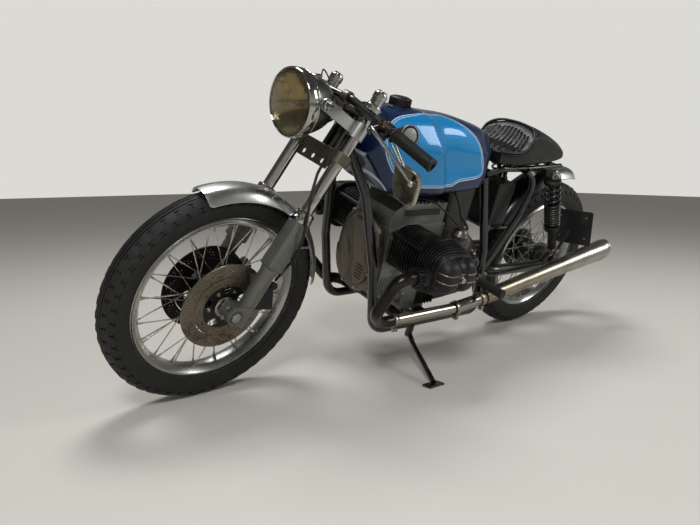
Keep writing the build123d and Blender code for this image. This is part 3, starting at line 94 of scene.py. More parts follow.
def put(name, data):
    """Put an object with its data in the scene."""
    made = bpy.data.objects.new(name, data)
    scene.collection.objects.link(made)
    return made


camera = scene.camera = put("camera", bpy.data.cameras.new("camera"))
camera.location = rear_place + Vector((2.2026, 1.5780, 0.3552))
camera.rotation_euler = (radians(90 - 8.724), 0, radians(-127.938 - 90))
camera.data.lens = LENS
camera.data.sensor_width = SENSOR
camera.data.clip_start = 0.05


# %% Colours and nodes
def colour(code):
    """Turn a hex sRGB colour into the linear values that shaders use."""
    values = [int(code[place:place + 2], 16) / 255 for place in (0, 2, 4)]
    return [v / 12.92 if v <= 0.04045 else ((v + 0.055) / 1.055) ** 2.4 for v in values] + [1]


def set_inputs(tree, made, **links):
    """Set inputs by name, with _ for a space, or by i and number, to values, sockets or nodes."""
    for name, value in links.items():
        socket = made.inputs[int(name[1:]) if name[1:].isdigit() else name.replace("_", " ")]
        if isinstance(value, bpy.types.Node):
            value = value.outputs[0]
        if isinstance(value, bpy.types.NodeSocket):
            tree.links.new(value, socket)
        else:
            socket.default_value = value


def node(tree, kind, settings=None, **links):
    """Add a node of the tree's own family, or of the full name given, and set its inputs."""
    made = tree.nodes.new(kind if "Node" in kind else tree.bl_idname[:-4] + kind)
    for name, value in (settings or {}).items():
        setattr(made, name, value)
    set_inputs(tree, made, **links)
    return made


def math_node(tree, operation, first, second=0.5):
    """Add a sum of one or two values."""
    return node(tree, "Math", {"operation": operation}, i0=first, i1=second)


def attribute(tree, name):
    """Read a value that the corners of a mesh carry."""
    return node(tree, "Attribute", {"attribute_name": name}).outputs["Fac"]


def blend(tree, share, low, high):
    """Mix two colours, each a hex code or a socket."""
    low, high = (colour(one) if isinstance(one, str) else one for one in (low, high))
    return node(tree, "Mix", {"data_type": "RGBA"}, i0=share, i6=low, i7=high).outputs[2]


def new_material(name):
    """Make a material, and give it with its node tree and its shader."""
    made = bpy.data.materials.new(name)
    made.use_nodes = True
    return made, made.node_tree, made.node_tree.nodes["Principled BSDF"]


# %% [markdown]
# A finish is two colours mixed by grain, with uneven gloss and a little relief. Hard pieces also
# get rounded edges from the bevel node, and their paint or plating is worn where it meets them.

# %% A finish with grain and worn edges
def finish(name, base, worn, metallic, rough, grain=2.0, bump=0.0, share=0.5, spread=0.1,
           stretch=(1, 1, 1), coat=0.0, edge=0.0, edge_worn="b9b5aa", edge_share=0.0):
    """Make a finish. grain is in mm, bump the relief in mm, share how much of the worn colour
    shows, spread how far roughness wanders, stretch the grain's direction for brushed metal,
    edge the radius in mm that sharp edges seem to have, edge_share how bare they are."""
    made, tree, shader = new_material(name)
    place = node(tree, "Mapping", Vector=node(tree, "TexCoord").outputs["Object"], Scale=stretch)
    fine = node(tree, "TexNoise", Vector=place, Scale=1000 / grain, Detail=5.0)
    broad = node(tree, "TexNoise", Vector=place, Scale=1000 / (grain * 14), Detail=3.0)
    amount = node(tree, "MapRange", Value=math_node(tree, "MULTIPLY", fine, broad),
        i1=0.34 - 0.22 * share, i2=0.44 - 0.1 * share)
    shade = blend(tree, amount, base, worn)
    normal = None
    if edge:
        normal = node(tree, "Bevel", {"samples": 4}, Radius=edge / 1000)
        if edge_share:
            flat = node(tree, "NewGeometry").outputs["Normal"]
            close = node(tree, "VectorMath", {"operation": "DOT_PRODUCT"}, i0=flat, i1=normal)
            bare = node(tree, "MapRange", Value=close.outputs["Value"], i1=0.99, i2=0.86, i3=0.0,
                i4=edge_share)
            shade = blend(tree, math_node(tree, "MULTIPLY", bare, amount), shade, edge_worn)
    gloss = node(tree, "MapRange", Value=broad, i1=0.3, i2=0.7, i3=max(rough - spread, 0.03),
        i4=min(rough + spread, 1.0))
    set_inputs(tree, shader, Base_Color=shade, Roughness=gloss, Metallic=metallic,
               Coat_Weight=coat, Coat_Roughness=0.06)
    if bump:
        relief = node(tree, "Bump", Strength=1.0, Distance=bump / 1000, Height=fine)
        if normal:
            set_inputs(tree, relief, Normal=normal)
        normal = relief
    if normal:
        set_inputs(tree, shader, Normal=normal)
    return made


# %% Finishes
# Vulcanised rubber, dusty in its grooves
tyre_rubber = finish("vulcanised_tyre_rubber", "0d0d0e", "211f1c", 0.0, 0.66, 4, 0.2, 0.45)
# Polished and drawn metals
rim_alloy = finish("satin_rim_alloy", "b4b4b0", "8e8c86", 1.0, 0.3, 7, 0.0, 0.3, 0.06)
spoke_steel = finish("drawn_stainless_wire", "c9c7c0", "8f8a7d", 1.0, 0.22, 4)
chrome = finish("chrome_plate", "b5b4ae", "8a867b", 1.0, 0.09, 12, 0.0, 0.3, 0.04, edge=1.2)
machined_steel = finish("zinc_plated_steel", "a6a39a", "6d685e", 1.0, 0.34, 3, 0.03, 0.4, edge=0.6)
disc_steel = finish("worn_brake_disc_steel", "7a7164", "4d453b", 0.9, 0.42, 6, 0.03, 0.5)
# The far disc is the same steel as the near one, darkened as painted shade where it sits behind the wheel
far_disc_painted_shade = finish("brake_disc_steel_dark_as_painted_shade", "2b2825", "191715", 0.8, 0.5, 5, 0.03, 0.5)
header_steel = finish("smoked_header_steel", "5b5044", "2c2722", 1.0, 0.3, 7, 0.04, 0.5, 0.12)
silencer_steel = finish("brushed_silencer_steel", "b3a083", "8a7759", 1.0, 0.3, 5, 0.0, 0.45, 0.1)
# Cast and brushed light alloys
slider_paint = finish("aged_slider_alloy", "6c6d67", "4e4d47", 0.6, 0.45, 4, 0.04, 0.3, edge=2,
    edge_worn="c8c7c1", edge_share=0.6)
yoke_cast = finish("sand_cast_yoke_alloy", "6b675c", "403c33", 0.85, 0.42, 2.5, 0.12, 0.45,
    edge=2.5, edge_worn="bdb59d", edge_share=0.5)
cover_alloy = finish("brushed_cover_alloy", "63605a", "393631", 1.0, 0.36, 2.5, 0.05, 0.45, edge=2,
    edge_worn="cfcbc1", edge_share=0.4)
guard_alloy = finish("satin_guard_aluminium", "b7b8b7", "9d9c99", 1.0, 0.3, 9, 0.0, 0.25, 0.05)
# Black paints: stove enamel on the frame, engine paint on the castings
frame_enamel = finish("black_stove_enamel", "08080a", "151413", 0.0, 0.26, 8, 0.0, 0.25, 0.08,
    coat=0.5, edge=1.5)
engine_paint = finish("black_engine_paint", "121213", "262422", 0.3, 0.46, 3, 0.1, 0.4, edge=1.6,
    edge_worn="8f8b83", edge_share=0.8)
tank_blue = finish("metallic_tank_lacquer", "0f5f9e", "0c4f88", 0.55, 0.25, 3, 0.0, 0.3, coat=1.0)
# Rubber, leather and plastic
seat_leather = finish("black_seat_leather", "080809", "131212", 0.0, 0.46, 1.4, 0.14, 0.4)
black_rubber = finish("moulded_black_rubber", "090909", "161616", 0.0, 0.6, 2, 0.1, 0.4)
black_plastic = finish("moulded_black_plastic", "060607", "101010", 0.0, 0.4, 2, 0.05, 0.35,
    edge=1.5)
plate_paint = finish("blank_plate_paint", "1d1d1e", "323130", 0.0, 0.45, 4, edge=1)
lamp_glass = finish("tinted_lamp_glass", "8c8468", "7a7258", 0.0, 0.12, 6)

FINISH_OF_SLOT = {"tyre": tyre_rubber, "rim_alloy": rim_alloy, "spoke_steel": spoke_steel,
    "cast_grey": slider_paint, "hub_dark": engine_paint, "disc_steel": disc_steel, "chrome": chrome,
    "steel": machined_steel, "frame_black": frame_enamel, "engine_black": engine_paint,
    "engine_alloy": cover_alloy, "guard_silver": guard_alloy, "tank_blue": tank_blue,
    "seat_black": seat_leather, "rubber": black_rubber, "plastic": black_plastic,
    "lens": lamp_glass, "stainless": silencer_steel, "plate": plate_paint}
for part in frame["record"]["subparts"]:
    solid = parts[part["node"]]
    solid.data.materials.clear()
    solid.data.materials.append(FINISH_OF_SLOT[part["material_slot"]])
for name, material in (("lower_yoke", yoke_cast), ("top_yoke", yoke_cast),
        ("left_header", header_steel), ("right_header", header_steel)):
    parts[name].data.materials[0] = material
print(len(FINISH_OF_SLOT), "finishes on the solids")

# %% [markdown]
# Three kinds of making do for most pieces: turning a profile about an axis, running a pipe
# along points, and copying one small part onto many places with Geometry Nodes.

# %% Making meshes
def as_mesh(name, made):
    """Turn made faces into a mesh whose faces look outward."""
    bmesh.ops.recalc_face_normals(made, faces=made.faces)
    mesh = bpy.data.meshes.new(name)
    made.to_mesh(mesh)
    made.free()
    return mesh


def lay(name, made, materials, body="chassis", crease=32, stands_for=()):
    """Lay an upright mesh where the machine stands, with its finishes, on its body."""
    mesh = as_mesh(name, made) if isinstance(made, bmesh.types.BMesh) else made
    mesh.transform(PLACE_OF_BODY[body])
    if not mesh.materials:
        for material in materials:
            mesh.materials.append(material)
    mesh.polygons.foreach_set("use_smooth", [True] * len(mesh.polygons))
    mesh.set_sharp_from_angle(angle=radians(crease))
    piece = put(name, mesh)
    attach(piece, body)
    if stands_for:
        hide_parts(*stands_for)
    return piece


def ring_faces(made, rings, closed_along=False, material=0, capped=False):
    """Join rings of corners into a skin; a ring of one corner closes to a point."""
    for first, second in zip(rings, rings[1:] + rings[:1] * closed_along):
        count = max(len(first), len(second))
        for place in range(count):
            after = (place + 1) % count
            corners = dict.fromkeys((first[place % len(first)], first[after % len(first)],
                second[after % len(second)], second[place % len(second)]))
            if len(corners) > 2:
                made.faces.new(list(corners)).material_index = material
    if capped:
        made.faces.new(rings[0]).material_index = material
        made.faces.new(rings[-1]).material_index = material


def turned(made, origin, axis, profile, steps=48, closed=False, material=0):
    """Turn a profile of (distance along the axis, radius) about the axis."""
    origin, axis = Vector(origin), Vector(axis).normalized()
    first = axis.orthogonal().normalized()
    second = axis.cross(first)
    rings = []
    for along, radius in profile:
        middle = origin + axis * along
        if radius < 1e-6:
            rings.append([made.verts.new(middle)])
            continue
        rings.append(
            [made.verts.new(middle + (first * cos(tau * step / steps)
            + second * sin(tau * step / steps)) * radius) for step in range(steps)])
    ring_faces(made, rings, closed_along=closed, material=material)
    return made


def rod(made, start, end, radius, steps=16, material=0):
    """Add a straight round bar with slightly broken edges."""
    start, end = Vector(start), Vector(end)
    length = (end - start).length
    lip = min(radius * 0.12, 1.0)
    return turned(made, start, end - start, ((0, 0), (0, radius - lip), (lip, radius),
        (length - lip, radius), (length, radius - lip), (length, 0)), steps, material=material)


def ramp(value, low, high):
    """Rise from 0 at low to 1 at high."""
    return min(max((value - low) / (high - low), 0), 1)


def between(a, b, c, d, t):
    """Give the place at t, from 0 to 1, between b and c on a smooth line through all four."""
    return 0.5 * (b * 2 + (c - a) * t + (a * 2 - b * 5 + c * 4 - d) * t * t
        + (b * 3 - a - c * 3 + d) * t * t * t)


def eased(points, per_run=8):
    """Pass a smooth line through points."""
    points = [Vector(point) for point in points]
    points = [points[0] * 2 - points[1]] + points + [points[-1] * 2 - points[-2]]
    return [between(*run, step / per_run) for run in zip(points, points[1:], points[2:], points[3:])
            for step in range(per_run)] + [points[-2]]


def closed_curve(points, per_run=9):
    """Pass a smooth closed line through flat points."""
    runs = [[Vector(points[(index + step) % len(points)]) for step in (-1, 0, 1, 2)]
            for index in range(len(points))]
    return [between(*run, step / per_run) for run in runs for step in range(per_run)]


def pipe(made, line, radius, sides=10, swell=None, flat=1.0):
    """Run a round section along a line, carried without twist; swell varies its radius."""
    line = [Vector(point) for point in line]
    last = len(line) - 1
    side = None
    rings = []
    for place, point in enumerate(line):
        way = (line[min(place + 1, last)] - line[max(place - 1, 0)]).normalized()
        side = way.orthogonal() if side is None else side - way * side.dot(way)
        side.normalize()
        up = way.cross(side)
        size = radius * (swell(place / last) if swell else 1)
        rings.append(
            [
            made.verts.new(point + (side * cos(tau * s / sides)
            + up * sin(tau * s / sides) * flat) * size) for s in range(sides)])
    ring_faces(made, [[made.verts.new(line[0])]] + rings + [[made.verts.new(line[-1])]])


def slab(made, outline, origin, across, up, depth, lip=0.0, material=0):
    """Raise an outline of (across, up) pairs into a plate with broken edges on both faces."""
    origin, across, up = Vector(origin), Vector(across).normalized(), Vector(up).normalized()
    out = across.cross(up)
    middle = Vector((sum(p[0] for p in outline), sum(p[1] for p in outline))) / len(outline)
    rings = []
    stages = ((0, lip), (lip, 0), (depth - lip, 0), (depth, lip)) if lip else ((0, 0), (depth, 0))
    for rise, inset in stages:
        ring = []
        for x, y in outline:
            way = Vector((x, y)) - middle
            far = way.length or 1
            x, y = Vector((x, y)) - way / far * inset
            ring.append(made.verts.new(origin + across * x + up * y + out * rise))
        rings.append(ring)
    ring_faces(made, rings, material=material, capped=True)
    return made


def rounded(width, height, corner, steps=5):
    """Give the outline of a rounded rectangle about its middle."""
    line = []
    for sx, sy, start in ((1, 1, 0), (-1, 1, 90), (-1, -1, 180), (1, -1, 270)):
        for step in range(steps + 1):
            angle = radians(start + 90 * step / steps)
            line.append((sx * (width / 2 - corner) + corner * cos(angle), sy * (height / 2 - corner)
                + corner * sin(angle)))
    return line


def unit_block(corner, steps, lip):
    """Make a block of one each way, standing on Z, with rounded corners."""
    return slab(bmesh.new(), rounded(1, 1, corner, steps), (0, 0, 0), (1, 0, 0), (0, 1, 0), 1.0,
        lip)


# %% Copying a part onto places
def start_group(name, **inputs):
    """Start a group of geometry nodes; give it, the keys of its inputs and their sockets."""
    group = bpy.data.node_groups.new(name, "GeometryNodeTree")
    keys = {title: group.interface.new_socket(title, in_out="INPUT", socket_type="NodeSocket"
        + kind).identifier for title, kind in inputs.items()}
    group.interface.new_socket("Geometry", in_out="OUTPUT", socket_type="NodeSocketGeometry")
    return group, keys, group.nodes.new("NodeGroupInput").outputs


def end_group(group, made, material):
    """Close a group with its made geometry in its finish."""
    done = node(group, "SetMaterial", Geometry=made, Material=material)
    group.links.new(done.outputs[0], group.nodes.new("NodeGroupOutput").inputs[0])


def build_copies():
    """Build the node group that copies a part onto places that carry their own directions."""
    group, keys, given = start_group("copies_on_places", Places="Geometry", Part="Object",
        Finish="Material")
    part = node(group, "ObjectInfo", Object=given["Part"])
    read = {title: node(group, "InputNamedAttribute", {"data_type": "FLOAT_VECTOR"}, Name=title)
            for title in ("way", "turn", "size")}
    stand = node(group, "FunctionNodeAlignRotationToVector", {"axis": "Z"}, Vector=read["way"])
    turn = node(group, "FunctionNodeAlignRotationToVector", {"axis": "X", "pivot_axis": "Z"},
        Rotation=stand, Vector=read["turn"])
    copied = node(group, "InstanceOnPoints", Points=given["Places"],
        Instance=part.outputs["Geometry"], Rotation=turn, Scale=read["size"])
    end_group(group, node(group, "RealizeInstances", Geometry=copied), given["Finish"])
    return group, keys


copier = build_copies()


def evaluated_mesh(holder):
    """Give the plain mesh of an object as its modifiers leave it."""
    return bpy.data.meshes.new_from_object(
        holder.evaluated_get(bpy.context.evaluated_depsgraph_get()))


def run_group(group_and_keys, name, places, columns, **values):
    """Run a node group on a table: points first, then the vectors that they carry."""
    group, keys = group_and_keys
    points = bpy.data.meshes.new(name)
    points.from_pydata([place[0] for place in places], [], [])
    for column, title in enumerate(columns, 1):
        stored = points.attributes.new(title, "FLOAT_VECTOR", "POINT")
        stored.data.foreach_set("vector", [v for place in places for v in place[column]])
    holder = put(name, points)
    changer = holder.modifiers.new("group", "NODES")
    changer.node_group = group
    for title, value in values.items():
        changer[keys[title]] = value
    shape = evaluated_mesh(holder)
    bpy.data.objects.remove(holder)
    for title in columns:
        if title in shape.attributes:
            shape.attributes.remove(shape.attributes[title])
    return shape


def copies(name, places, part, material, body="chassis", crease=32, stands_for=()):
    """Lay a part copied onto places: each a point, its Z way, its X way and its size."""
    pattern = put(name + "_part", as_mesh(name + "_part", part))
    shape = run_group(copier, name, places, ("way", "turn", "size"), Part=pattern, Finish=material)
    bpy.data.objects.remove(pattern)
    lay(name, shape, [material], body, crease, stands_for)


def on_flanks(points):
    """Give places on both flanks of the machine, each facing outward."""
    return [((x, side * y, z), (0, side, 0)) for side in (-1, 1) for x, y, z in points]


def bolts(name, places, diameter, material, body="chassis"):
    """Set bolt heads on their washers at places: each a point and the way it faces."""
    head = turned(bmesh.new(), (0, 0, 0), (0, 0, 1), ((0, 0), (0, 0.5), (0.1, 0.5), (0.12, 0.44),
        (0.12, 0)), 20)
    turned(head, (0, 0, 0.12), (0, 0, 1), ((0, 0.4), (0.3, 0.4), (0.38, 0.34), (0.38, 0)), 6)
    copies(name, [(Vector(point), Vector(way), Vector(way).orthogonal(), (diameter,) * 3)
        for point, way in places], head, material, body)


print("making functions are ready")

# %% [markdown]
# The wheels come first, because the front one is nearest to the eye. A tyre is a smooth
# carcass with blocks copied round it in rows; the wheel under it is a turned rim, laced to its
# hub by spokes that cross, each with a nipple at the rim.

# %% Tyres with block tread
# Rows of blocks: angle across the crown, share of a half step round, length and width in mm
TREAD_ROWS = ((36, 0, 36, 26), (-36, 0, 36, 26), (57, 1, 34, 22), (-57, 1, 34, 22))
TREAD_DEPTH = 6
# The carcass and the feet of the blocks lie this far inside the crown
CARCASS_SINK, BLOCK_SINK = 2.6, 2.4
# The radius and crown of the tyre that the rows are sized for
ROW_RADIUS, ROW_CROWN = 328, 46


def tread_block():
    """Make one six-sided tread block, one long and one wide, pointed across the tyre."""
    outline = ((0.5, 0), (0.34, 0.4), (0.2, 0.5), (-0.2, 0.5), (-0.34, 0.4), (-0.5, 0),
        (-0.34, -0.4), (-0.2, -0.5), (0.2, -0.5), (0.34, -0.4))
    return slab(bmesh.new(), outline, (0, 0, -1), (1, 0, 0), (0, 1, 0), 1.0, 0.04)


def build_tyre(prefix, centre, radius, crown, rim_radius, rim_half):
    """Make a tyre: carcass, shoulders, bead lines and its tread."""
    body = prefix + "_wheel"
    bead = rim_radius - 2
    floor = crown - TREAD_DEPTH
    middle = radius - crown
    profile = [(-rim_half + 7, bead - 8), (-rim_half + 4, bead), (-rim_half + 1, bead + 5),
               (-rim_half - 1, bead + 11), (-rim_half - 3, bead + 12), (-rim_half - 4, bead + 15)]
    # Grooves run round the crown; the blocks stand on a lower floor beside it
    for angle in (-74, -71, -70, *range(-66, -25, 4), -24, -17.6, -17, -14, -13.4, -5.6, -5, -2.4,
                  -1.8, 1.8, 2.4, 5, 5.6, 13.4, 14, 17, 17.6, 24, *range(26, 67, 4), 70, 71, 74):
        low = 24 < abs(angle) <= 70 or abs(angle) in (17, 14, 5, 2.4)
        size = floor if low else crown - CARCASS_SINK
        profile.append((size * sin(radians(angle)), middle + size * cos(radians(angle))))
    profile += [(-x, r) for x, r in reversed(profile[:6])]
    made = bmesh.new()
    turned(made, centre, (0, 1, 0), profile, 128, closed=True)
    lay(prefix + "_tyre_carcass", made, [tyre_rubber], body, stands_for=[prefix + "_tyre"])
    steps = 50 if prefix == "front" else 48
    places = []
    for angle, shift, length, width in TREAD_ROWS:
        lean = radians(angle)
        for step in range(steps):
            spin = tau * (step + shift * 0.5) / steps
            out = Vector((cos(spin) * cos(lean), sin(lean), sin(spin) * cos(lean)))
            round_way = Vector((-sin(spin), 0, cos(spin)))
            hub_way = Vector((cos(spin), 0, sin(spin)))
            point = centre + hub_way * middle + out * (crown - BLOCK_SINK)
            size = (length * radius / ROW_RADIUS, width * crown / ROW_CROWN, TREAD_DEPTH + 2)
            places.append((point, out, round_way, size))
    copies(prefix + "_tread", places, tread_block(), tyre_rubber, body)


build_tyre("front", FRONT_AXLE, 328, 46, 254, 31)
build_tyre("rear", REAR_AXLE, 324, 52, 241, 36)
print(len(TREAD_ROWS), "rows of blocks on each tyre")

# %% Rims, spokes and nipples
def build_rim(prefix, centre, radius, half, hub_radius, flange_offset):
    """Make a polished rim with rolled edges, and the forty spokes that cross to its hub."""
    body = prefix + "_wheel"
    bead, floor = radius - 12, radius - 28
    side = ((half, radius - 1.5), (half - 1.5, radius), (half - 4, radius),
        (half - 5.5, radius - 2), (half - 6, bead + 1), (half - 4, bead - 1),
        (half - 1.5, bead - 1), (half - 1, bead - 3), (half - 4, bead - 6), (half - 8, bead - 8),
        (half * 0.5, floor + 1.5), (half * 0.35, floor))
    profile = list(side) + [(-x, r) for x, r in reversed(side)]
    inside = [(-half + 7, radius - 2), (-half + 7, bead), (-half * 0.5, floor + 4),
              (half * 0.5, floor + 4), (half - 7, bead), (half - 7, radius - 2)]
    made = bmesh.new()
    turned(made, centre, (0, 1, 0), profile + inside, 144, closed=True)
    lay(prefix + "_rim_rolled", made, [rim_alloy], body, 40, [prefix + "_rim"])
    wires, nipples = [], []
    for lace in (-1, 1):
        for lead, shift, start in ((-1, -1, 0), (1, 1, 2)):
            foot = lace * (flange_offset + shift * 3.64)
            for step in range(10):
                angle = radians(9 * (4 * step + start + lace))
                reach = angle + radians(lead * 72)
                inner = centre + Vector(((hub_radius + 10) * cos(angle), foot,
                    (hub_radius + 10) * sin(angle)))
                outer = centre + Vector(((floor + 1) * cos(reach), lace * (half / 5 + shift * 2.3),
                    (floor + 1) * sin(reach)))
                way = outer - inner
                wires.append((inner, way, way.orthogonal(), (3.8, 3.8, way.length)))
                nipples.append((outer, -way, way.orthogonal(), (7, 7, 17)))
                wires.append((inner - way.normalized() * 1.5, Vector((0, -lace * shift, 0)), way,
                    (4.4, 4.4, 8)))
    wire = turned(bmesh.new(), (0, 0, 0), (0, 0, 1), ((0, 0), (0, 0.5), (1, 0.5), (1, 0)), 8)
    copies(prefix + "_spoke_wires", wires, wire, spoke_steel, body, stands_for=[prefix + "_spokes"])
    nipple = turned(bmesh.new(), (0, 0, 0), (0, 0, 1), ((-0.1, 0), (-0.1, 0.5), (0.3, 0.5),
        (0.34, 0.42), (0.9, 0.34), (1, 0.28), (1, 0)), 8)
    copies(prefix + "_nipples", nipples, nipple, machined_steel, body)


build_rim("front", FRONT_AXLE, 254, 31, 27, 30)
build_rim("rear", REAR_AXLE, 241, 36, 48, 38)
print("80 spokes laced")

# %% Hubs, drilled discs and the axle
def build_drill():
    """Build the node group that drills a flat ring: points are the middles of its holes."""
    group, keys, given = start_group("drilled_ring", Holes="Geometry", Outer="Float", Inner="Float",
        Hole="Float", Thickness="Float", Finish="Material")
    outer, inner, hole = (node(group, "CurvePrimitiveCircle", Resolution=count, Radius=given[title])
        for title, count in (("Outer", 96), ("Inner", 72), ("Hole", 10)))
    holes = node(group, "InstanceOnPoints", Points=given["Holes"], Instance=hole)
    joined = node(group, "JoinGeometry")
    for source in (outer, inner, holes):
        set_inputs(group, joined, i0=source)
    real = node(group, "RealizeInstances", Geometry=joined)
    filled = node(group, "FillCurve", Curve=real)
    raised = node(group, "ExtrudeMesh", Mesh=filled, Offset_Scale=given["Thickness"],
        Individual=False)
    both = node(group, "JoinGeometry")
    for source in (raised, node(group, "FlipFaces", Mesh=filled)):
        set_inputs(group, both, i0=source)
    end_group(group, node(group, "MergeByDistance", Geometry=both, Distance=0.01), given["Finish"])
    return group, keys


driller = build_drill()
for index, side in enumerate((1, -1)):
    # Holes in slanting rows of three, all round, and a plain band inside them
    pattern = [(ring * cos(angle), ring * sin(angle)) for step in range(18)
        for ring, lead in ((102, 0), (110, 4), (118, 8), (102, 5), (110, 9), (118, 13))
        for angle in (radians(step * 20 + lead),)]
    inner_pattern = [(76 * cos(tau * step / 10), 76 * sin(tau * step / 10)) for step in range(10)]
    stand = Matrix(((1, 0, 0), (0, 0, 1), (0, -1, 0))).to_4x4()
    name = "front_disc_" + ("left", "right")[index]
    # The right disc, the far one, takes the steel darkened as painted shade
    metal = (disc_steel, far_disc_painted_shade)[index]
    for band, (holes, outer, inner, hole, thickness) in enumerate((
            (pattern, 130.0, 93.0, 2.4, 4.5), (inner_pattern, 91.0, 66.0, 2.6, 5.5))):
        disc = run_group(driller, name, [((x, y, 0),) for x, y in holes], (), Outer=outer,
            Inner=inner, Hole=hole, Thickness=thickness, Finish=metal)
        middle = FRONT_AXLE + Vector((0, side * 57 - thickness / 2, 0))
        disc.transform(Matrix.Translation(middle) @ stand)
        lay(name + ("_band", "_root")[band], disc, [metal], "front_wheel", 40,
            ["front_brake_discs"] if index == band == 0 else ())
carrier_bolts = [(FRONT_AXLE + Vector((50 * cos(radians(a)), side * 60, 50 * sin(radians(a)))),
    (0, side, 0)) for side in (-1, 1) for a in range(0, 360, 60)]
bolts("disc_bolts", carrier_bolts, 11, machined_steel, "front_wheel")
hub = bmesh.new()
for side in (-1, 1):
    turned(hub, FRONT_AXLE, (0, side, 0), ((58, 9), (58, 30), (62, 31), (64, 28), (66, 20),
        (72, 18), (72, 9)), 40, closed=True)
    turned(hub, FRONT_AXLE, (0, side, 0), ((98, 0), (98, 15), (124, 15), (125, 13), (125, 0)), 6)
    turned(hub, FRONT_AXLE, (0, side, 0), ((72, 0), (72, 12), (98, 12), (98, 0)), 24)
lay("front_axle_fittings", hub, [machined_steel], "steering")
parts["front_hub"].data.materials[0] = engine_paint
print("discs drilled with", len(pattern), "holes each")

# %% [markdown]
# The fork, its bars and its lamp turn with the steering. The tubes are chromed; the sliders and
# yokes are old castings, so their edges are bright and their hollows are dull.

# %% Fork sliders, seals and caps
FORK_HALF = 95
LEG = 36
CAST_FOOT, CAST_HEIGHT = 182, 146
made = bmesh.new()
bright = bmesh.new()
caps = bmesh.new()
for side in (-1, 1):
    foot = fork_point(LEG, side * FORK_HALF, 312)
    turned(made, foot, steer_up, ((0, 0), (0, 19), (4, 22), (10, 23.5), (168, 24), (174, 26),
        (182, 26), (186, 24.5), (300, 24.5), (330, 27), (340, 26.5), (340, 18.5), (340, 0)), 56)
    # Flat-faced upper casting
    cast = bmesh.new()
    slab(cast, rounded(58, 54, 12, 4), foot + steer_up * CAST_FOOT, steer_out, (0, 1, 0),
         CAST_HEIGHT, 3)
    for corner in cast.verts:
        rise = (corner.co - foot).dot(steer_up)
        away = corner.co - foot - steer_up * rise
        corner.co -= away * (0.1 * ramp(rise, CAST_FOOT, CAST_FOOT + CAST_HEIGHT))
    made.from_mesh(as_mesh("cast", cast))
    turned(bright, foot, steer_up, ((330, 18.5), (330, 29), (332, 30), (344, 30), (346, 28),
        (358, 28), (361, 27.5), (364, 24), (364, 18.5)), 48, closed=True)
    head = fork_point(LEG, side * FORK_HALF, 986)
    turned(caps, head, steer_up, ((4, 18.2), (4, 22.5), (8, 23.5), (26, 23.5), (29, 22), (31, 21.5),
        (31, 18.2)), 48, closed=True)
    turned(caps, head, steer_up, ((50, 0), (50, 19.5), (52, 20), (64, 20), (66, 19), (67, 17),
        (69, 16.6), (69, 0)), 40)
    turned(caps, head, steer_up, ((69, 0), (69, 12.5), (73.5, 12.5), (74, 11.5), (74, 0)), 6)
    # Axle clamp with its pinch cap
    clamp = FRONT_AXLE + Vector((0, side * 73 if side > 0 else -121, 0))
    turned(made, clamp, (0, 1, 0), ((0, 9), (0, 23), (2, 25), (46, 25), (48, 23), (48, 9)), 40,
           closed=True)
    arm = fork_point(LEG + 20, side * (FORK_HALF - 22 if side > 0 else FORK_HALF + 26), 338)
    slab(made, [(-26, -26), (36, -20), (36, 20), (-26, 34)], arm, steer_out, steer_up, -48, -2)
lay("fork_legs", made, [slider_paint], "steering", 30, ["fork_sliders"])
lay("fork_seals", bright, [chrome], "steering")
lay("fork_caps", caps, [chrome], "steering", 25)
fluting = []
for side in (-1, 1):
    for step in range(20):
        spin = tau * step / 20
        out = steer_out * cos(spin) + Vector((0, 1, 0)) * sin(spin)
        middle = fork_point(LEG, side * FORK_HALF, 990)
        fluting.append((middle + out * 22.6, steer_up, out, (2.4, 3.4, 23)))
copies("cap_fluting", fluting, unit_block(0.3, 2, 0.05), chrome, "steering")
pinch = []
for side in (-1, 1):
    for rise in (-15, 15):
        pinch.append((FRONT_AXLE + steer_up * rise + steer_out * 30 + Vector((0, side * 105, 0)),
            (0, side, 0)))
bolts("fork_bolts", pinch, 12, machined_steel, "steering")
print("fork dressed")

# %% Bent tubes
def bent(points, radii, steps=8):
    """Give the line of a tube bent from straight runs, with an arc of each radius."""
    points = [Vector(point) for point in points]
    line = [points[0]]
    for before, corner, after, radius in zip(points, points[1:], points[2:], radii):
        into, out = (corner - before).normalized(), (after - corner).normalized()
        half = into.angle(out) / 2
        if half < 0.01:
            line.append(corner)
            continue
        reach = min(radius * tan(half), (corner - before).length * 0.49,
            (after - corner).length * 0.49)
        round_radius = reach / tan(half)
        centre = corner + (out - into).normalized() * round_radius / cos(half)
        first = corner - into * reach - centre
        axle = into.cross(out).normalized()
        for step in range(steps + 1):
            line.append(centre + Matrix.Rotation(2 * half * step / steps, 3, axle) @ first)
    return line + [points[-1]]


# %% Bars, grips and levers
BAR_END = Vector((1117, 340, 838))
BAR_BEND = fork_point(98, 78, 992)


def mirrored(point, side):
    """Give a point of the left side, or its twin on the right."""
    return Vector((point[0], point[1] * side, point[2]))


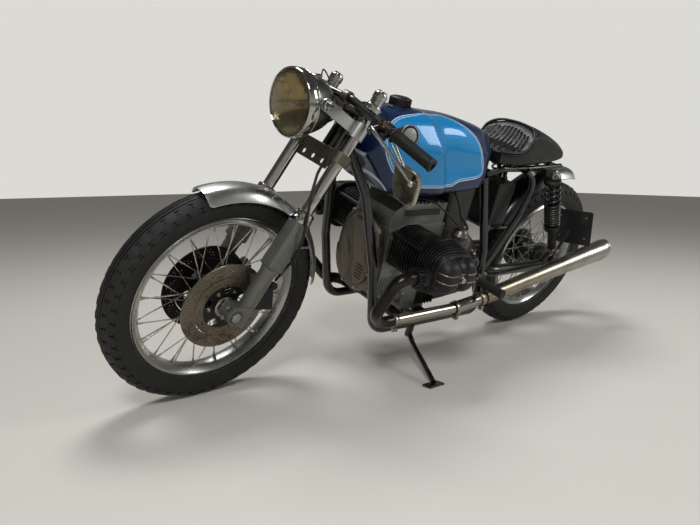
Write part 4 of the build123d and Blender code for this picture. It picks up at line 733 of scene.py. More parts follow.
grips = bmesh.new()
levers_made = bmesh.new()
switches = bmesh.new()
for side in (1, -1):
    end = mirrored(BAR_END, side)
    way = (end - mirrored(BAR_BEND, side)).normalized()
    start = end - way * 128
    profile = [(0, 11.2), (0, 21), (1, 22.5), (4, 22.5), (5, 21), (6, 16.5)]
    for rib in range(26):
        profile += [(8 + rib * 4.5, 15.4), (9 + rib * 4.5, 17), (11 + rib * 4.5, 17),
            (12 + rib * 4.5, 15.4)]
    profile += [(127, 18), (131, 18.6), (134, 17), (134, 9.6), (126, 9.6), (126, 11.2)]
    turned(grips, start, way, profile, 32, closed=True)
    points = ((1196, 184, 882), (1202, 222, 868), (1186, 282, 828), (1160, 330, 785)) \
        if side > 0 else ((1196, 184, 882), (1200, 218, 868), (1180, 262, 842), (1152, 300, 812))
    points = [mirrored(point, side) for point in points]
    line = eased(points, 12)
    pipe(levers_made, line, 8.2, 14, swell=lambda t: 1.15 - 0.35 * t if t > 0.1 else 0.9, flat=0.62)
    turned(levers_made, points[-1], points[-1] - points[-2],
           [(-8.5, 3)] + [(9 * sin(radians(a)), 9 * cos(radians(a))) for a in range(-60, 81, 20)]
           + [(9, 0)], 20)
    # Pivot block of the lever, and the switch beside the grip
    perch = end - way * 153
    rod(switches, perch - way * 13, perch + way * 14, 17.6, 28)
    slab(switches, rounded(30, 26, 5), perch + Vector((10, 0, -22)), (1, 0, 0), (0, 1, 0), 12, 2)
    rod(switches, perch - way * 44, perch - way * 22, 15.5, 28)
lay("bar_grips", grips, [black_rubber], "steering", 30, ["grips"])
lay("bar_levers", levers_made, [guard_alloy], "steering", 30, ["levers"])
lay("bar_switches", switches, [engine_paint], "steering")
perch = BAR_END - (BAR_END - BAR_BEND).normalized() * 150
copper = finish("copper_fitting", "b06a3c", "6e4526", 1.0, 0.35, 3)
bolts("perch_screws", [(perch + Vector(place), way) for place, way in (
    ((6, 0, 17), (0.2, 0, 1)), ((22, 4, 8), (1, 0, 0.3)), ((18, -18, 12), (1, 0, 0.5)))],
    9, copper, "steering")
black_wiring = finish("vinyl_wiring_sleeve", "0e0e0f", "1c1b1a", 0.0, 0.45, 3)
wires = bmesh.new()
for points, radius in ((((98, -60, 985), (112, -66, 1016), (96, -90, 1036), (60, -96, 1030),
        (44, -60, 996)), 2.2), (((95, -40, 984), (72, -20, 960), (52, 6, 940), (60, 30, 920)), 3.2),
        (((95, 60, 984), (74, 40, 952), (70, 20, 925), (86, 12, 900)), 3.2)):
    pipe(wires, eased([fork_point(*point) for point in points], 10), radius, 10)
lay("bar_wires", wires, [black_wiring], "steering")
# Mirror: a shallow cast case with its glass turned to the light, on two bright stems
mirror_place = Vector((1136, 300, 768))
mirror_way = Vector((1, -0.25, -0.1)).normalized()
mirror_across = Vector((0.25, 1, 0)).normalized()
mirror_up = mirror_way.cross(mirror_across)
case = bmesh.new()
outline = [(x * (1 + 0.0022 * y), y) for x, y in rounded(120, 98, 28, 8)]
slab(case, outline, mirror_place, mirror_across, mirror_up, 10, 3)
slab(case, [(x * 0.9, y * 0.88) for x, y in outline], mirror_place + mirror_way * 9.2,
    mirror_across, mirror_up, 2.2, 0.8, 1)
stem_foot = mirror_place + mirror_across * -20 + mirror_up * 34 + mirror_way * 5
way = (BAR_END - BAR_BEND).normalized()
for shift, reach in (((0, 0, 0), 172), ((4, 14, -2), 140)):
    rod(case, stem_foot + Vector(shift), BAR_END - way * reach, 3.4, 14, 2)
mirror_glass = finish("silvered_mirror_glass", "7d7869", "66604f", 1.0, 0.06, 30, 0.0, 0.3)
case_satin = finish("satin_mirror_case", "a9a69c", "86827a", 0.9, 0.3, 8)
lay("bar_mirror_case", case, [case_satin, mirror_glass, machined_steel], "steering", 35,
    ["bar_mirror"])
print("bars dressed")

# %% [markdown]
# The lamp is a satin bowl with a chromed rim. Behind its glass a bright reflector makes the depth
# that a flat disc would lack, so bulb, reflector and fluted glass are three pieces.

# %% Headlamp
EAR_HEIGHT = 863 + 0.65 * 110
LAMP = fork_point(178, 0, EAR_HEIGHT) + Vector((45, 0, -23))
shell = bmesh.new()
bowl = [(-130, 0)] + [(-130 + 124 * (1 - cos(radians(a))), 85 * sin(radians(a)) ** 0.8)
    for a in range(6, 91, 6)]
turned(shell, LAMP, (1, 0, 0), bowl + [(-4, 85.5), (-4, 78)], 72)
turned(shell, LAMP, (1, 0, 0), ((-22, 84.6), (-22, 86.6), (-19, 87.2), (-16, 86.6), (-16, 84.6)),
       72, closed=True)
bowl_paint = finish("satin_bowl_enamel", "1b1b1d", "2c2b2a", 0.0, 0.34, 5, coat=0.3, edge=1)
lay("lamp_bowl", shell, [bowl_paint], "steering", 40, ["headlamp_shell"])
rim = bmesh.new()
turned(rim, LAMP, (1, 0, 0), ((-32, 85), (-32, 88), (-30, 89.5), (-27, 89.8), (-26, 89),
    (-24, 90.4), (-12, 91.2), (-3, 91), (1, 90), (3, 88.6), (3.2, 87), (2, 86), (-2, 86), (-4, 87)),
    96, closed=True)
clip_way = (steer_up * 0.98 + Vector((0, 0.2, 0))).normalized()
slab(rim, rounded(34, 15, 3), LAMP + Vector((-14, 0, 0)) + clip_way * 89.5, (1, 0, 0),
     clip_way.cross(Vector((1, 0, 0))), 3.2, 1)
lay("lamp_rim", rim, [chrome], "steering", 50, ["headlamp_rim"])
reflector = bmesh.new()
turned(reflector, LAMP, (1, 0, 0), [(-62 + 60 * (r / 84) ** 2, r) for r in range(12, 85, 6)]
       + [(-3, 84), (-5, 84.5), (-66, 20), (-66, 12)], 96, closed=True)
mirror_coat = finish("tarnished_silvered_reflector", "b9b094", "5f563f", 1.0, 0.16, 20, 0.0, 0.5)
lay("lamp_reflector", reflector, [mirror_coat], "steering", 50)
bulb = bmesh.new()
turned(bulb, LAMP, (1, 0, 0), ((-60, 0), (-60, 12), (-50, 12), (-48, 8), (-40, 8.5), (-28, 9),
    (-20, 7), (-16, 4), (-14, 0)), 24)
lay("lamp_bulb", bulb, [lamp_glass], "steering", 50)

# Fluted glass: upright ribs a few millimetres apart spread the beam
fluted_glass, tree, shader = new_material("fluted_pressed_glass")
place = node(tree, "TexCoord").outputs["Object"]
ribs = node(tree, "TexWave", {"bands_direction": "Y"}, Vector=place, Scale=32.0, Distortion=0.4)
cloudy = node(tree, "TexNoise", Vector=place, Scale=60.0)
hazed = node(tree, "MapRange", Value=cloudy, i1=0.4, i2=0.7, i3=0.0, i4=0.1)
relief = node(tree, "Bump", Strength=0.35, Distance=0.0006, Height=ribs)
set_inputs(tree, shader, Base_Color=colour("dfd6ba"), Transmission_Weight=1.0, IOR=1.45,
           Roughness=hazed, Normal=relief)
glass = bmesh.new()
dome = [(1 + 14 * (1 - (r / 86) ** 2), r) for r in range(86, 0, -6)]
turned(glass, LAMP, (1, 0, 0), [(11, 0)] + [(along - 3, radius) for along, radius in reversed(dome)]
       + dome + [(14, 0)], 96)
lay("lamp_lens", glass, [fluted_glass], "steering", 50, ["headlamp_lens"])
bolts("lamp_bolts", [(fork_point(178, side * 98, EAR_HEIGHT), (0, side, 0)) for side in (1, -1)],
    27, chrome, "steering")
print("lamp made")

# %% Smooth front mudguard with rolled edges
GUARD_DROP, GUARD_SHEET = 30, 2.2


def guard(name, centre, radius, half, start, sweep, tip, extras, body, stands_for, dark_beyond=1e9):
    """Sweep a mudguard's rounded section round the wheel; tip is the angle that it narrows in."""
    made = bmesh.new()
    rings = []
    steps = 72
    for step in range(steps + 1):
        turn = sweep * step / steps
        narrow = sqrt(max(1 - (1 - min(turn / tip, 1)) ** 2, 0)) if tip else 1
        width = half * (0.9 + 0.1 * narrow)
        angle = radians(start + turn)
        fall = GUARD_DROP * (width / half) ** 1.5
        shares = [s / 12 for s in range(-12, 13)]
        section = [(share * width, radius - fall * abs(share) ** 3.2) for share in shares]
        edge = [(width + 1.6 * cos(a), radius - fall - 1 + 1.8 * sin(a))
                for a in (0.6, -0.6, -1.8, -3.0)]
        inner = [(-share * (width - GUARD_SHEET), radius - GUARD_SHEET - fall * abs(share) ** 3.2)
                 for share in shares]
        other = [(-x, r) for x, r in reversed(edge)]
        rings.append([made.verts.new(centre + Vector((r * cos(angle), y, r * sin(angle))))
            for y, r in section + edge + inner + other])
    ring_faces(made, rings, capped=True)
    for start_point, end_point, size in extras:
        rod(made, start_point, end_point, size)
    # The part above the swinging arm, under the seat, is black
    for face in made.faces:
        face.material_index = int(dark_beyond < face.calc_center_median().x - centre.x)
    lay(name, made, [guard_alloy, frame_enamel], body, 40, stands_for)


guard_stays = []
for side in (-1, 1):
    guard_stays.append((fork_point(36, side * 46, 642), fork_point(36, side * 74, 642), 7))
    guard_stays.append((fork_point(-104, side * 49, 590), fork_point(30, side * 78, 548), 3.6))
guard("front_guard", FRONT_AXLE, 340, 51, 75, 103, 1.4, guard_stays, "steering",
      ["front_mudguard"])
rivets = [(FRONT_AXLE + Vector((cos(a) * 334, side * 35, sin(a) * 334)),
    (cos(a), side * 0.6, sin(a))) for a in (radians(112), radians(118), radians(124))
    for side in (-1, 1)]
bolts("guard_rivets", rivets, 9, machined_steel, "steering")
print("front mudguard made")

# %% [markdown]
# The tank is the piece that everyone looks at, so its skin is dense and smooth. Its panel and its
# pin lines follow the body: the outline's points are given in the photograph's frame, and rays
# from the camera drop them on the skin. Each corner of the mesh then keeps its distance in
# millimetres from that outline, and the lacquer reads it.

# %% Tank skin
TANK_MIDDLE = Vector((880, 110, 790))
# Place along, bottom, top, half width low, at the widest and high
TANK_SECTIONS = (
    (1130, 818, 868, 70, 82, 62), (1116, 806, 873, 76, 90, 68), (1060, 736, 889, 98, 116, 82),
    (1010, 662, 895, 118, 130, 90), (930, 650, 896, 131, 140, 98), (862, 648, 894, 137, 143, 100),
    (838, 648, 892, 137, 142, 98), (824, 648, 890, 133, 136, 95), (808, 649, 888, 126, 121, 90),
    (794, 649, 887, 124, 117, 88), (700, 651, 879, 122, 115, 84), (620, 657, 864, 117, 111, 77),
    (596, 661, 858, 112, 109, 72), (575, 667, 852, 103, 101, 64), (555, 675, 845, 90, 90, 55),
    (536, 687, 838, 73, 75, 45), (518, 704, 829, 51, 53, 33), (506, 728, 816, 28, 30, 20))
SKIN_RINGS = 170


def eased_rows(rows, count):
    """Pass smooth values through the rows of a table, evenly along their first column."""
    found = []
    for step in range(count + 1):
        place = rows[0][0] + (rows[-1][0] - rows[0][0]) * step / count
        for index, (a, b) in enumerate(zip(rows, rows[1:])):
            if min(a[0], b[0]) <= place <= max(a[0], b[0]):
                break
        t = (place - a[0]) / (b[0] - a[0])
        before, after = rows[max(index - 1, 0)], rows[min(index + 2, len(rows) - 1)]
        row = [place]
        for p, q, r, s in zip(before[1:], a[1:], b[1:], after[1:]):
            low = (r - p) / (b[0] - before[0]) * (b[0] - a[0]) if before is not a else r - q
            high = (s - q) / (after[0] - a[0]) * (b[0] - a[0]) if after is not b else r - q
            row.append((2 * t ** 3 - 3 * t ** 2 + 1) * q + (t ** 3 - 2 * t ** 2 + t) * low
                       + (3 * t ** 2 - 2 * t ** 3) * r + (t ** 3 - t ** 2) * high)
        found.append(row)
    return found


def both_sides(right, top):
    """Complete a section: its right half, the middle of its top, and the left half."""
    return list(right) + [(0, top)] + [(-y, z) for y, z in reversed(right[1:])]


tank_skin = bmesh.new()
rings = []
for x, bottom, top, low, wide, high in eased_rows(TANK_SECTIONS, SKIN_RINGS):
    tall = top - bottom
    right = ((0, bottom + 1), (low * 0.6, bottom), (low * 0.93, bottom + tall * 0.035),
        (low * 1.03, bottom + tall * 0.14), (wide, bottom + tall * 0.42),
        (wide * 0.985, bottom + tall * 0.62), (high * 1.13, top - tall * 0.17),
        (high * 0.86, top - tall * 0.055), (high * 0.45, top - tall * 0.008))
    outline = both_sides(right, top)
    # The knee crease leans forward as it rises
    rings.append([tank_skin.verts.new((x + 0.3 * (z - 790) * exp(-((x - 812) / 55) ** 2), y, z))
        for y, z in closed_curve(outline)])
ring_faces(tank_skin, rings)
for ring, lift in ((rings[0], 6), (rings[-1], -8)):
    middle = sum((v.co for v in ring), Vector()) / len(ring)
    inner = [[tank_skin.verts.new(middle + (v.co - middle) * share + Vector((lift * bulge, 0, 0)))
              for v in ring] for share, bulge in ((0.94, 0.5), (0.8, 0.9), (0.4, 1))]
    ring_faces(tank_skin, [ring] + inner)
    tank_skin.faces.new(inner[-1])
# Its front is cut flat, clear of a fork leg at full lock
FULL_LOCK, LEG_CLEARANCE = radians(33), 28 + 6
flat_front = fork_point(LEG * cos(FULL_LOCK) - FORK_HALF * sin(FULL_LOCK) - LEG_CLEARANCE, 0, 832)
bmesh.ops.bisect_plane(tank_skin, geom=tank_skin.verts[:] + tank_skin.edges[:] + tank_skin.faces[:],
    plane_co=flat_front, plane_no=steer_out, clear_outer=True)
rim_edges = [edge for edge in tank_skin.edges if edge.is_boundary]
bmesh.ops.contextual_create(tank_skin, geom=rim_edges)
print("tank skin has", len(tank_skin.faces), "faces")

# %% Outline of the painted panel, dropped on the skin
PANEL_PIXELS = ((391, 123), (396, 118.5), (404, 115.5), (416, 114), (427, 113.8), (439, 115),
    (450, 118.6), (461, 124), (470, 130.6), (477, 138.5), (481, 147.5), (483, 158), (483.4, 168),
    (481.5, 175), (476, 178.4), (468, 180), (460, 181.4), (455, 184), (450, 186.4), (436, 188),
    (420, 187.6), (405, 184), (395, 175), (388.5, 162), (385, 146), (386, 132))


def camera_ray(pixel):
    """Give the way that a pixel of the photograph's frame looks, in the frame."""
    x = (pixel[0] - PHOTO_WIDTH / 2) / PHOTO_WIDTH * SENSOR / LENS
    y = (PHOTO_HEIGHT / 2 - pixel[1]) / PHOTO_WIDTH * SENSOR / LENS
    return camera.rotation_euler.to_matrix() @ Vector((x, y, -1))


def drop_on_skin(pixels, made):
    """Drop pixels on an upright mesh and give their upright places."""
    tree = BVHTree.FromBMesh(made)
    back = parked.inverted()
    eye = back @ camera.location
    found = []
    for pixel in pixels:
        aim = (back @ (camera.location + camera_ray(pixel)) - eye).normalized()
        hit = tree.ray_cast(eye, aim)[0]
        if hit is None:
            hit = tree.find_nearest(eye + aim * (TANK_MIDDLE - eye).length)[0]
        found.append(hit)
    return found


panel_line = drop_on_skin(PANEL_PIXELS, tank_skin)
print("panel runs from x", round(min(p.x for p in panel_line)), "to",
      round(max(p.x for p in panel_line)))


def wrapped(point):
    """Give a place on the skin as flat numbers: along the machine, and the angle round it."""
    return Vector((point.x, 130 * atan2(abs(point.y), point.z - 775)))


def line_distance(point, line, closed):
    """Give the distance from a point to a line, less than nothing outside a closed one."""
    point = Vector((point.x, abs(point.y), point.z))
    best, inside = 1e9, False
    flat = wrapped(point)
    for a, b in list(zip(line, line[1:])) + ([(line[-1], line[0])] if closed else []):
        along = b - a
        share = min(max((point - a).dot(along) / max(along.length_squared, 1e-9), 0), 1)
        best = min(best, (point - a - along * share).length)
        p, q = wrapped(a), wrapped(b)
        if closed and (p.y > flat.y) != (q.y > flat.y) \
                and flat.x < (q.x - p.x) * (flat.y - p.y) / (q.y - p.y) + p.x:
            inside = not inside
    return best if inside or not closed else -best


panel_round = closed_curve([tuple(p) for p in panel_line], 5)
panel_values = [line_distance(v.co, panel_round, True) for v in tank_skin.verts]
# The second line follows the edge of the nose, seen from the side
NOSE_LINE = [Vector((x, 0, z)) for x, z in ((1113, 842), (1109, 824), (1098, 796), (1080, 760),
    (1054, 721), (1013, 675), (995, 655))]
nose_values = [line_distance(Vector((v.co.x, 0, v.co.z)), eased(NOSE_LINE, 4), False)
    for v in tank_skin.verts]

# %% Two blues, clear coat and pin lines
# Metallic lacquer: fine flakes under a deep clear coat
lacquer, tree, shader = new_material("metallic_lacquer_with_pin_lines")
panel, nose = attribute(tree, "panel_mm"), attribute(tree, "nose_mm")
place = node(tree, "TexCoord").outputs["Object"]


def band(source, middle, half):
    """Give a mask for a narrow band of a distance in millimetres."""
    size = math_node(tree, "ABSOLUTE", math_node(tree, "SUBTRACT", source, middle))
    return node(tree, "MapRange", Value=size, i1=half + 0.35, i2=half - 0.35, i3=0.0, i4=1.0)


flakes = node(tree, "TexVoronoi", Vector=place, Scale=1400.0)
cloud = node(tree, "TexNoise", Vector=place, Scale=9.0, Detail=3.0)
inside = node(tree, "MapRange", Value=panel, i1=-0.5, i2=0.5)
blue = blend(tree, cloud, "0088cb", "006bab")
blue = blend(tree, math_node(tree, "MULTIPLY", flakes.outputs["Distance"], 0.3), blue, "1f9fd0")
lines = math_node(tree, "MAXIMUM", band(panel, 0, 1.3), band(panel, 6.5, 0.8))
lines = math_node(tree, "MAXIMUM", lines, band(nose, 0, 1.6))
set_inputs(tree, shader, Base_Color=blend(tree, lines, blend(tree, inside, "05234a", blue),
    "c9d9e6"), Metallic=node(tree, "MapRange", Value=lines, i3=0.15, i4=0.0), Roughness=0.4,
    Specular_IOR_Level=0.15, Coat_Weight=0.7, Coat_Roughness=0.04)

mesh = as_mesh("tank_skin", tank_skin)
# Faces of the tank that look down, behind its front, are matte black, not lacquered
for face in mesh.polygons:
    face.material_index = int(face.normal.z < -0.7 and face.center.x < 1040)
for title, values in (("panel_mm", panel_values), ("nose_mm", nose_values)):
    mesh.attributes.new(title, "FLOAT", "POINT").data.foreach_set("value", values)
lay("tank_skin", mesh, [lacquer, black_plastic], "chassis", 50, ["fuel_tank"])

# %% Filler cap and blank roundels
cap = bmesh.new()
turned(cap, (928, 0, 893), (0, 0, 1), ((0, 0), (0, 39), (3, 39), (5, 36), (6, 31), (26, 31),
    (29, 29), (31, 24), (31.5, 10), (31.5, 0)), 60)
lay("filler_body", cap, [engine_paint], "chassis", 35, ["filler_cap"])
ridges = []
for step in range(26):
    way = Vector((cos(tau * step / 26), sin(tau * step / 26), 0))
    ridges.append((Vector((928, 0, 899)) + way * 32, (0, 0, 1), way, (4.5, 4.2, 21)))
copies("filler_ridges", ridges, unit_block(0.3, 2, 0.06), engine_paint, crease=35)
badge = bmesh.new()
for side in (-1, 1):
    middle = Vector((978, side * 121, 838))
    facing = Vector((0.14, side, 0.3))
    turned(badge, middle, facing, ((-14, 0), (-14, 30), (5, 30), (7, 28.5), (7, 22.5)), 48)
    turned(badge, middle, facing, ((7, 31), (7.4, 31.6), (8.4, 31), (8.4, 28.6), (7, 28)), 48,
           closed=True, material=1)
    turned(badge, middle, facing, ((7, 22), (8, 22), (8.6, 18), (9.2, 8), (9.3, 0)), 48, material=1)
lay("blank_roundels", badge, [black_plastic, guard_alloy])
print("tank painted")

# %% [markdown]
# The seat is sewn: a swollen pad with long tucks sits in a smooth covered tail. The pad is blown
# up by the cloth solver, because padded leather is round between its seams; tucks, piping and
# stitches come after that.

# %% Covered tail and skirt
# Place along, bottom, shoulder, top, half width
TAIL_SECTIONS = ((500, 744, 783, 778, 90), (440, 743, 785, 779, 106), (408, 742, 794, 785, 111),
    (390, 742, 812, 800, 112), (376, 743, 832, 824, 112), (360, 743, 844, 846, 111),
    (340, 744, 848, 863, 109), (316, 745, 846, 869, 107), (286, 746, 840, 866, 104),
    (252, 749, 832, 858, 100), (205, 752, 820, 844, 95), (150, 756, 803, 824, 84),
    (108, 758, 787, 804, 68), (78, 757, 772, 783, 49), (57, 753, 760, 765, 28))
tail = bmesh.new()
rings = []
for x, bottom, shoulder, top, half in eased_rows(TAIL_SECTIONS, 110):
    right = ((0, bottom), (half * 0.7, bottom), (half * 0.97, bottom + 5),
        (half, bottom + (shoulder - bottom) * 0.45), (half * 0.985, shoulder - 6),
        (half * 0.9, shoulder + 2), (half * 0.6, shoulder + (top - shoulder) * 0.72))
    outline = both_sides(right, top)
    rings.append([tail.verts.new((x, y, z)) for y, z in closed_curve(outline, 7)])
ring_faces(tail, rings)
for ring in (rings[0], rings[-1]):
    middle = sum((v.co for v in ring), Vector()) / len(ring)
    inner = [tail.verts.new(middle + (v.co - middle) * 0.5) for v in ring]
    ring_faces(tail, [ring, inner])
    tail.faces.new(inner)
for side in (-1, 1):
    for x in (200, 420):
        slab(tail, rounded(24, 16, 3), (x, side * 86, 738), (1, 0, 0), (0, 1, 0), 14, 1)
lay("seat_tail", tail, [seat_leather], "chassis", 40, ["seat"])

# %% Pad swollen by the cloth solver
# Place along, underside, edge, middle, half width
PAD_SECTIONS = ((499, 776, 784, 798, 82), (470, 774, 783, 793, 92), (430, 773, 784, 788, 101),
    (406, 776, 792, 793, 105), (392, 784, 806, 804, 106), (378, 800, 826, 822, 103),
    (364, 814, 842, 843, 96), (350, 824, 849, 857, 86), (336, 832, 853, 863, 74))
pad = bmesh.new()
rings = []
for x, under, edge, middle, half in eased_rows(PAD_SECTIONS, 34):
    right = ((0, under), (half * 0.75, under), (half * 0.97, under + (edge - under) * 0.4),
        (half * 0.95, edge - 1), (half * 0.75, edge + (middle - edge) * 0.25),
        (half * 0.4, edge + (middle - edge) * 0.8))
    outline = both_sides(right, middle)
    rings.append([pad.verts.new(Vector((x, y, z)) / 1000) for y, z in closed_curve(outline, 5)])
ring_faces(pad, rings, capped=True)


def swell(made, voxel, cap, pressure):
    """Blow up a closed cushion, in metres, with no point moving further than the cap."""
    holder = put("cushion", as_mesh("cushion", made))
    even = holder.modifiers.new("even", "REMESH")
    even.mode = "VOXEL"
    even.voxel_size = voxel
    holder.data = evaluated_mesh(holder)
    holder.modifiers.clear()
    at_rest = [v.co.copy() for v in holder.data.vertices]
    cloth = holder.modifiers.new("swell", "CLOTH")
    cloth.settings.use_pressure = True
    cloth.settings.uniform_pressure_force = pressure
    cloth.settings.effector_weights.gravity = 0
    for frame_number in range(1, 21):
        scene.frame_set(frame_number)
    swollen = evaluated_mesh(holder)
    for corner, before in zip(swollen.vertices, at_rest):
        moved = corner.co - before
        corner.co = before + moved * min(1, cap / max(moved.length, 1e-9))
    holder.modifiers.clear()
    holder.data = swollen
    scene.frame_set(1)
    finer = holder.modifiers.new("finer", "SUBSURF")
    finer.levels = finer.render_levels = 1
    result = evaluated_mesh(holder)
    bpy.data.objects.remove(holder)
    return result


cushion = swell(pad, voxel=0.005, cap=0.007, pressure=4)
print("pad has", len(cushion.vertices), "points after swelling")


# %% Tucks, piping and stitches
def tuck_width(x):
    """Give the width between two tucks, which draw together towards the hump."""
    return 15.5 + 8.5 * ramp(x, 340, 500)


cushion.transform(Matrix.Scale(1000, 4))
normals = [v.normal.copy() for v in cushion.vertices]
for corner, normal in zip(cushion.vertices, normals):
    width = tuck_width(corner.co.x)
    away = abs(corner.co.y / width - round(corner.co.y / width)) * width
    facing = ramp(normal.z, -0.1, 0.3)
    edge = ramp(-abs(corner.co.y), -96, -82)
    corner.co += normal * facing * edge * (1.6 * sin(min(away / width * 2, 1) * pi / 2)
        - 3.6 * exp(-(away / 2.4) ** 2))
pad_piece = lay("seat_pad", cushion, [seat_leather], "chassis", 60)

RIM = ((503, 84, 790), (470, 98, 789), (430, 107, 792), (404, 111, 800), (388, 112, 818),
       (376, 109, 838), (360, 94, 855), (343, 72, 865), (331, 40, 869), (327, 0, 871))
rim_left = eased(RIM, 8)
rim_line = rim_left + [Vector((p.x, -p.y, p.z)) for p in reversed(rim_left[:-1])]
piping = bmesh.new()
pipe(piping, rim_line, 4.2, 10)
# The lower bead of the piping leaves the rim as it rises round the hump
bead_line = [p + (Vector((-14, 0, -1.5)) if p.z > 846
    else Vector((-14 * ramp(p.z, 796, 846), 1.5 if p.y > 0 else -1.5, -9))) for p in rim_line]
pipe(piping, bead_line, 2.2, 8)
lay("seat_piping", piping, [seat_leather], "chassis", 60)
# Waxed thread: pale in the photograph against the leather
thread = finish("waxed_thread", "6d6a63", "4a4843", 0.0, 0.6, 1.2)
stitch = turned(bmesh.new(), (0, 0, -0.5), (0, 0, 1), ((0, 0), (0.1, 0.4), (0.5, 0.5), (0.9, 0.4),
    (1, 0)), 6)
places = []
walked, step_length = 0.0, 5.5
for a, b in zip(rim_line, rim_line[1:]):
    walked += (b - a).length
    if walked >= step_length:
        walked -= step_length
        way = (b - a).normalized()
        outward = Vector((0, 1 if a.y > 0 else -1, 0)) if a.z < 830 else Vector((-1, 0, 0.3))
        lean = Vector((0, 0, 0.55 if len(places) % 2 else -0.55))
        places.append((a + outward * 4.4, way + lean, outward, (1.5, 1.5, 7)))
copies("seat_stitches", places, stitch, thread)
print(len(places), "stitches sewn")

# %% [markdown]
# The cylinders stand out on both sides, and their fins catch the light first. A fin is one thin
# cast plate with a round outline, copied along the cylinder, so barrels and heads keep air
# between their fins as the real ones do.

# %% Barrels and heads
CYLINDER_HEIGHT = 478
CYLINDERS = ((1, 860), (-1, 822))
HEAD_BASE, COVER_BASE = 247, 317
# How far out and how high the exhaust ports, the inlets and the carburettors sit
PORT_OUT, PORT_HEIGHT = 285, CYLINDER_HEIGHT - 14
INLET_OUT, INLET_HEIGHT = 278, CYLINDER_HEIGHT + 8
CARBURETTOR_OUT, CARBURETTOR_HEIGHT = 140, CYLINDER_HEIGHT + 4
fin_paint = finish("black_fin_paint", "19191a", "302e2b", 0.35, 0.42, 3, 0.06, 0.45, edge=1.1,
    edge_worn="a9a59b", edge_share=0.9)
cores = bmesh.new()
barrel_fins, head_fins = [], []
for side, middle in CYLINDERS:
    across = Vector((0, side, 0))
    axis_point = Vector((middle, 0, CYLINDER_HEIGHT))
    turned(cores, axis_point, across, ((98, 0), (98, 62), (102, 64), (108, 60), (HEAD_BASE, 60),
        (HEAD_BASE, 0)), 48)
    slab(cores, rounded(146, 132, 36), axis_point + across * (HEAD_BASE - 2), (side, 0, 0),
         (0, 0, 1), -(COVER_BASE - HEAD_BASE + 2))
    for count in range(11):
        barrel_fins.append((axis_point + across * (110 + count * 12.6), across, (1, 0, 0),
            (150, 150, 2.6)))
    for count in range(7):
        head_fins.append((axis_point + across * (HEAD_BASE + 4 + count * 8.9), across, (1, 0, 0),
            (184 - 3.6 * count, 170 - 4 * count, 2.8)))
    head_fins.append((axis_point + across * (COVER_BASE - 6), across, (1, 0, 0), (150, 126, 6)))
    for x in (-62, 62):
        for z in (-1, 1):
            rod(cores, axis_point + Vector((x, side * 102, z * 48)),
                axis_point + Vector((x, side * (HEAD_BASE + 6), z * 48)), 7, 12)
    # Push-rod tubes under the barrel
    for x in (-26, 26):
        rod(cores, axis_point + Vector((x, side * 98, -66)),
            axis_point + Vector((x, side * (HEAD_BASE + 8), -62)), 10, 20)
    port = Vector((middle + 98, side * PORT_OUT, PORT_HEIGHT))
    turned(cores, port, (1, 0, 0), ((-40, 0), (-40, 30), (-6, 27), (0, 25), (4, 25), (5, 27),
        (22, 27), (24, 24), (24, 0)), 40)
    rod(cores, (middle - 70, side * INLET_OUT, INLET_HEIGHT),
        (middle - 110, side * INLET_OUT, INLET_HEIGHT), 20, 32)
copies("barrel_fins", barrel_fins, unit_block(0.4, 6, 0), fin_paint,
       stands_for=["cylinder_barrels"])
copies("head_fins", head_fins, unit_block(0.33, 6, 0), fin_paint, stands_for=["cylinder_heads"])
lay("cylinder_cores", cores, [fin_paint])
ribs = []
for side, middle in CYLINDERS:
    for step in range(16):
        spin = tau * step / 16
        out = Vector((0, cos(spin), sin(spin)))
        ribs.append((Vector((middle + 104, side * PORT_OUT, PORT_HEIGHT)) + out * 28.5, (1, 0, 0),
            out, (7, 4, 17)))
copies("exhaust_nut_ribs", ribs, unit_block(0.2, 2, 0), fin_paint)
print(len(barrel_fins) + len(head_fins), "fins")

# %% Rocker covers
LOBE_RINGS = 12
covers = bmesh.new()
rib_plates = bmesh.new()
cover_nuts = []
for side, middle in CYLINDERS:
    across = Vector((0, side, 0))
    seat_point = Vector((middle + 6, side * COVER_BASE, CYLINDER_HEIGHT + 5))
    for lobe in (-33, 33):
        rings = []
        for step in range(LOBE_RINGS):
            angle = step / LOBE_RINGS * pi / 2
            shrink = cos(angle) ** 0.55
            middle_point = seat_point + Vector((lobe, side * 50 * sin(angle), 0))
            rings.append([covers.verts.new(middle_point + Vector((x, 0, z)))
                for x, z in rounded(78 * shrink, 112 * shrink, 37 * shrink, 8)])
        ring_faces(covers, rings, capped=True)
    slab(covers, rounded(146, 120, 42, 8), seat_point + across * (0 if side > 0 else 8), (-1, 0, 0),
         (0, 0, 1), 8, 1.2)
    rod(covers, seat_point, seat_point + across * 42, 14, 32)
    corners = [(share * 72, out * 52) for share, out in ((-1, 0), (-0.985, 0.4), (-0.93, 0.66),
        (-0.84, 0.86), (-0.7, 0.97), (-0.5, 1), (-0.3, 0.97), (-0.14, 0.86), (0.14, 0.86),
        (0.3, 0.97), (0.5, 1), (0.7, 0.97), (0.84, 0.86), (0.93, 0.66), (0.985, 0.4), (1, 0))]
    for height in (-13, 13):
        slab(rib_plates, corners, seat_point + Vector((0, 0, height + 2 * side)), (1, 0, 0),
             (0, side, 0), 4, 1.2)
    cover_nuts.append((seat_point + across * 42, across))
lay("rocker_domes", covers, [engine_paint], "chassis", 40, ["rocker_covers"])
rib_alloy = finish("filed_rib_alloy", "8d8a82", "55524b", 0.9, 0.4, 3, 0.03, 0.45, edge=1.2,
    edge_worn="d5d2ca", edge_share=0.7)
lay("rocker_ribs", rib_plates, [rib_alloy], "chassis", 40)
bolts("cover_nuts", cover_nuts, 24, machined_steel)
print("rocker covers made")

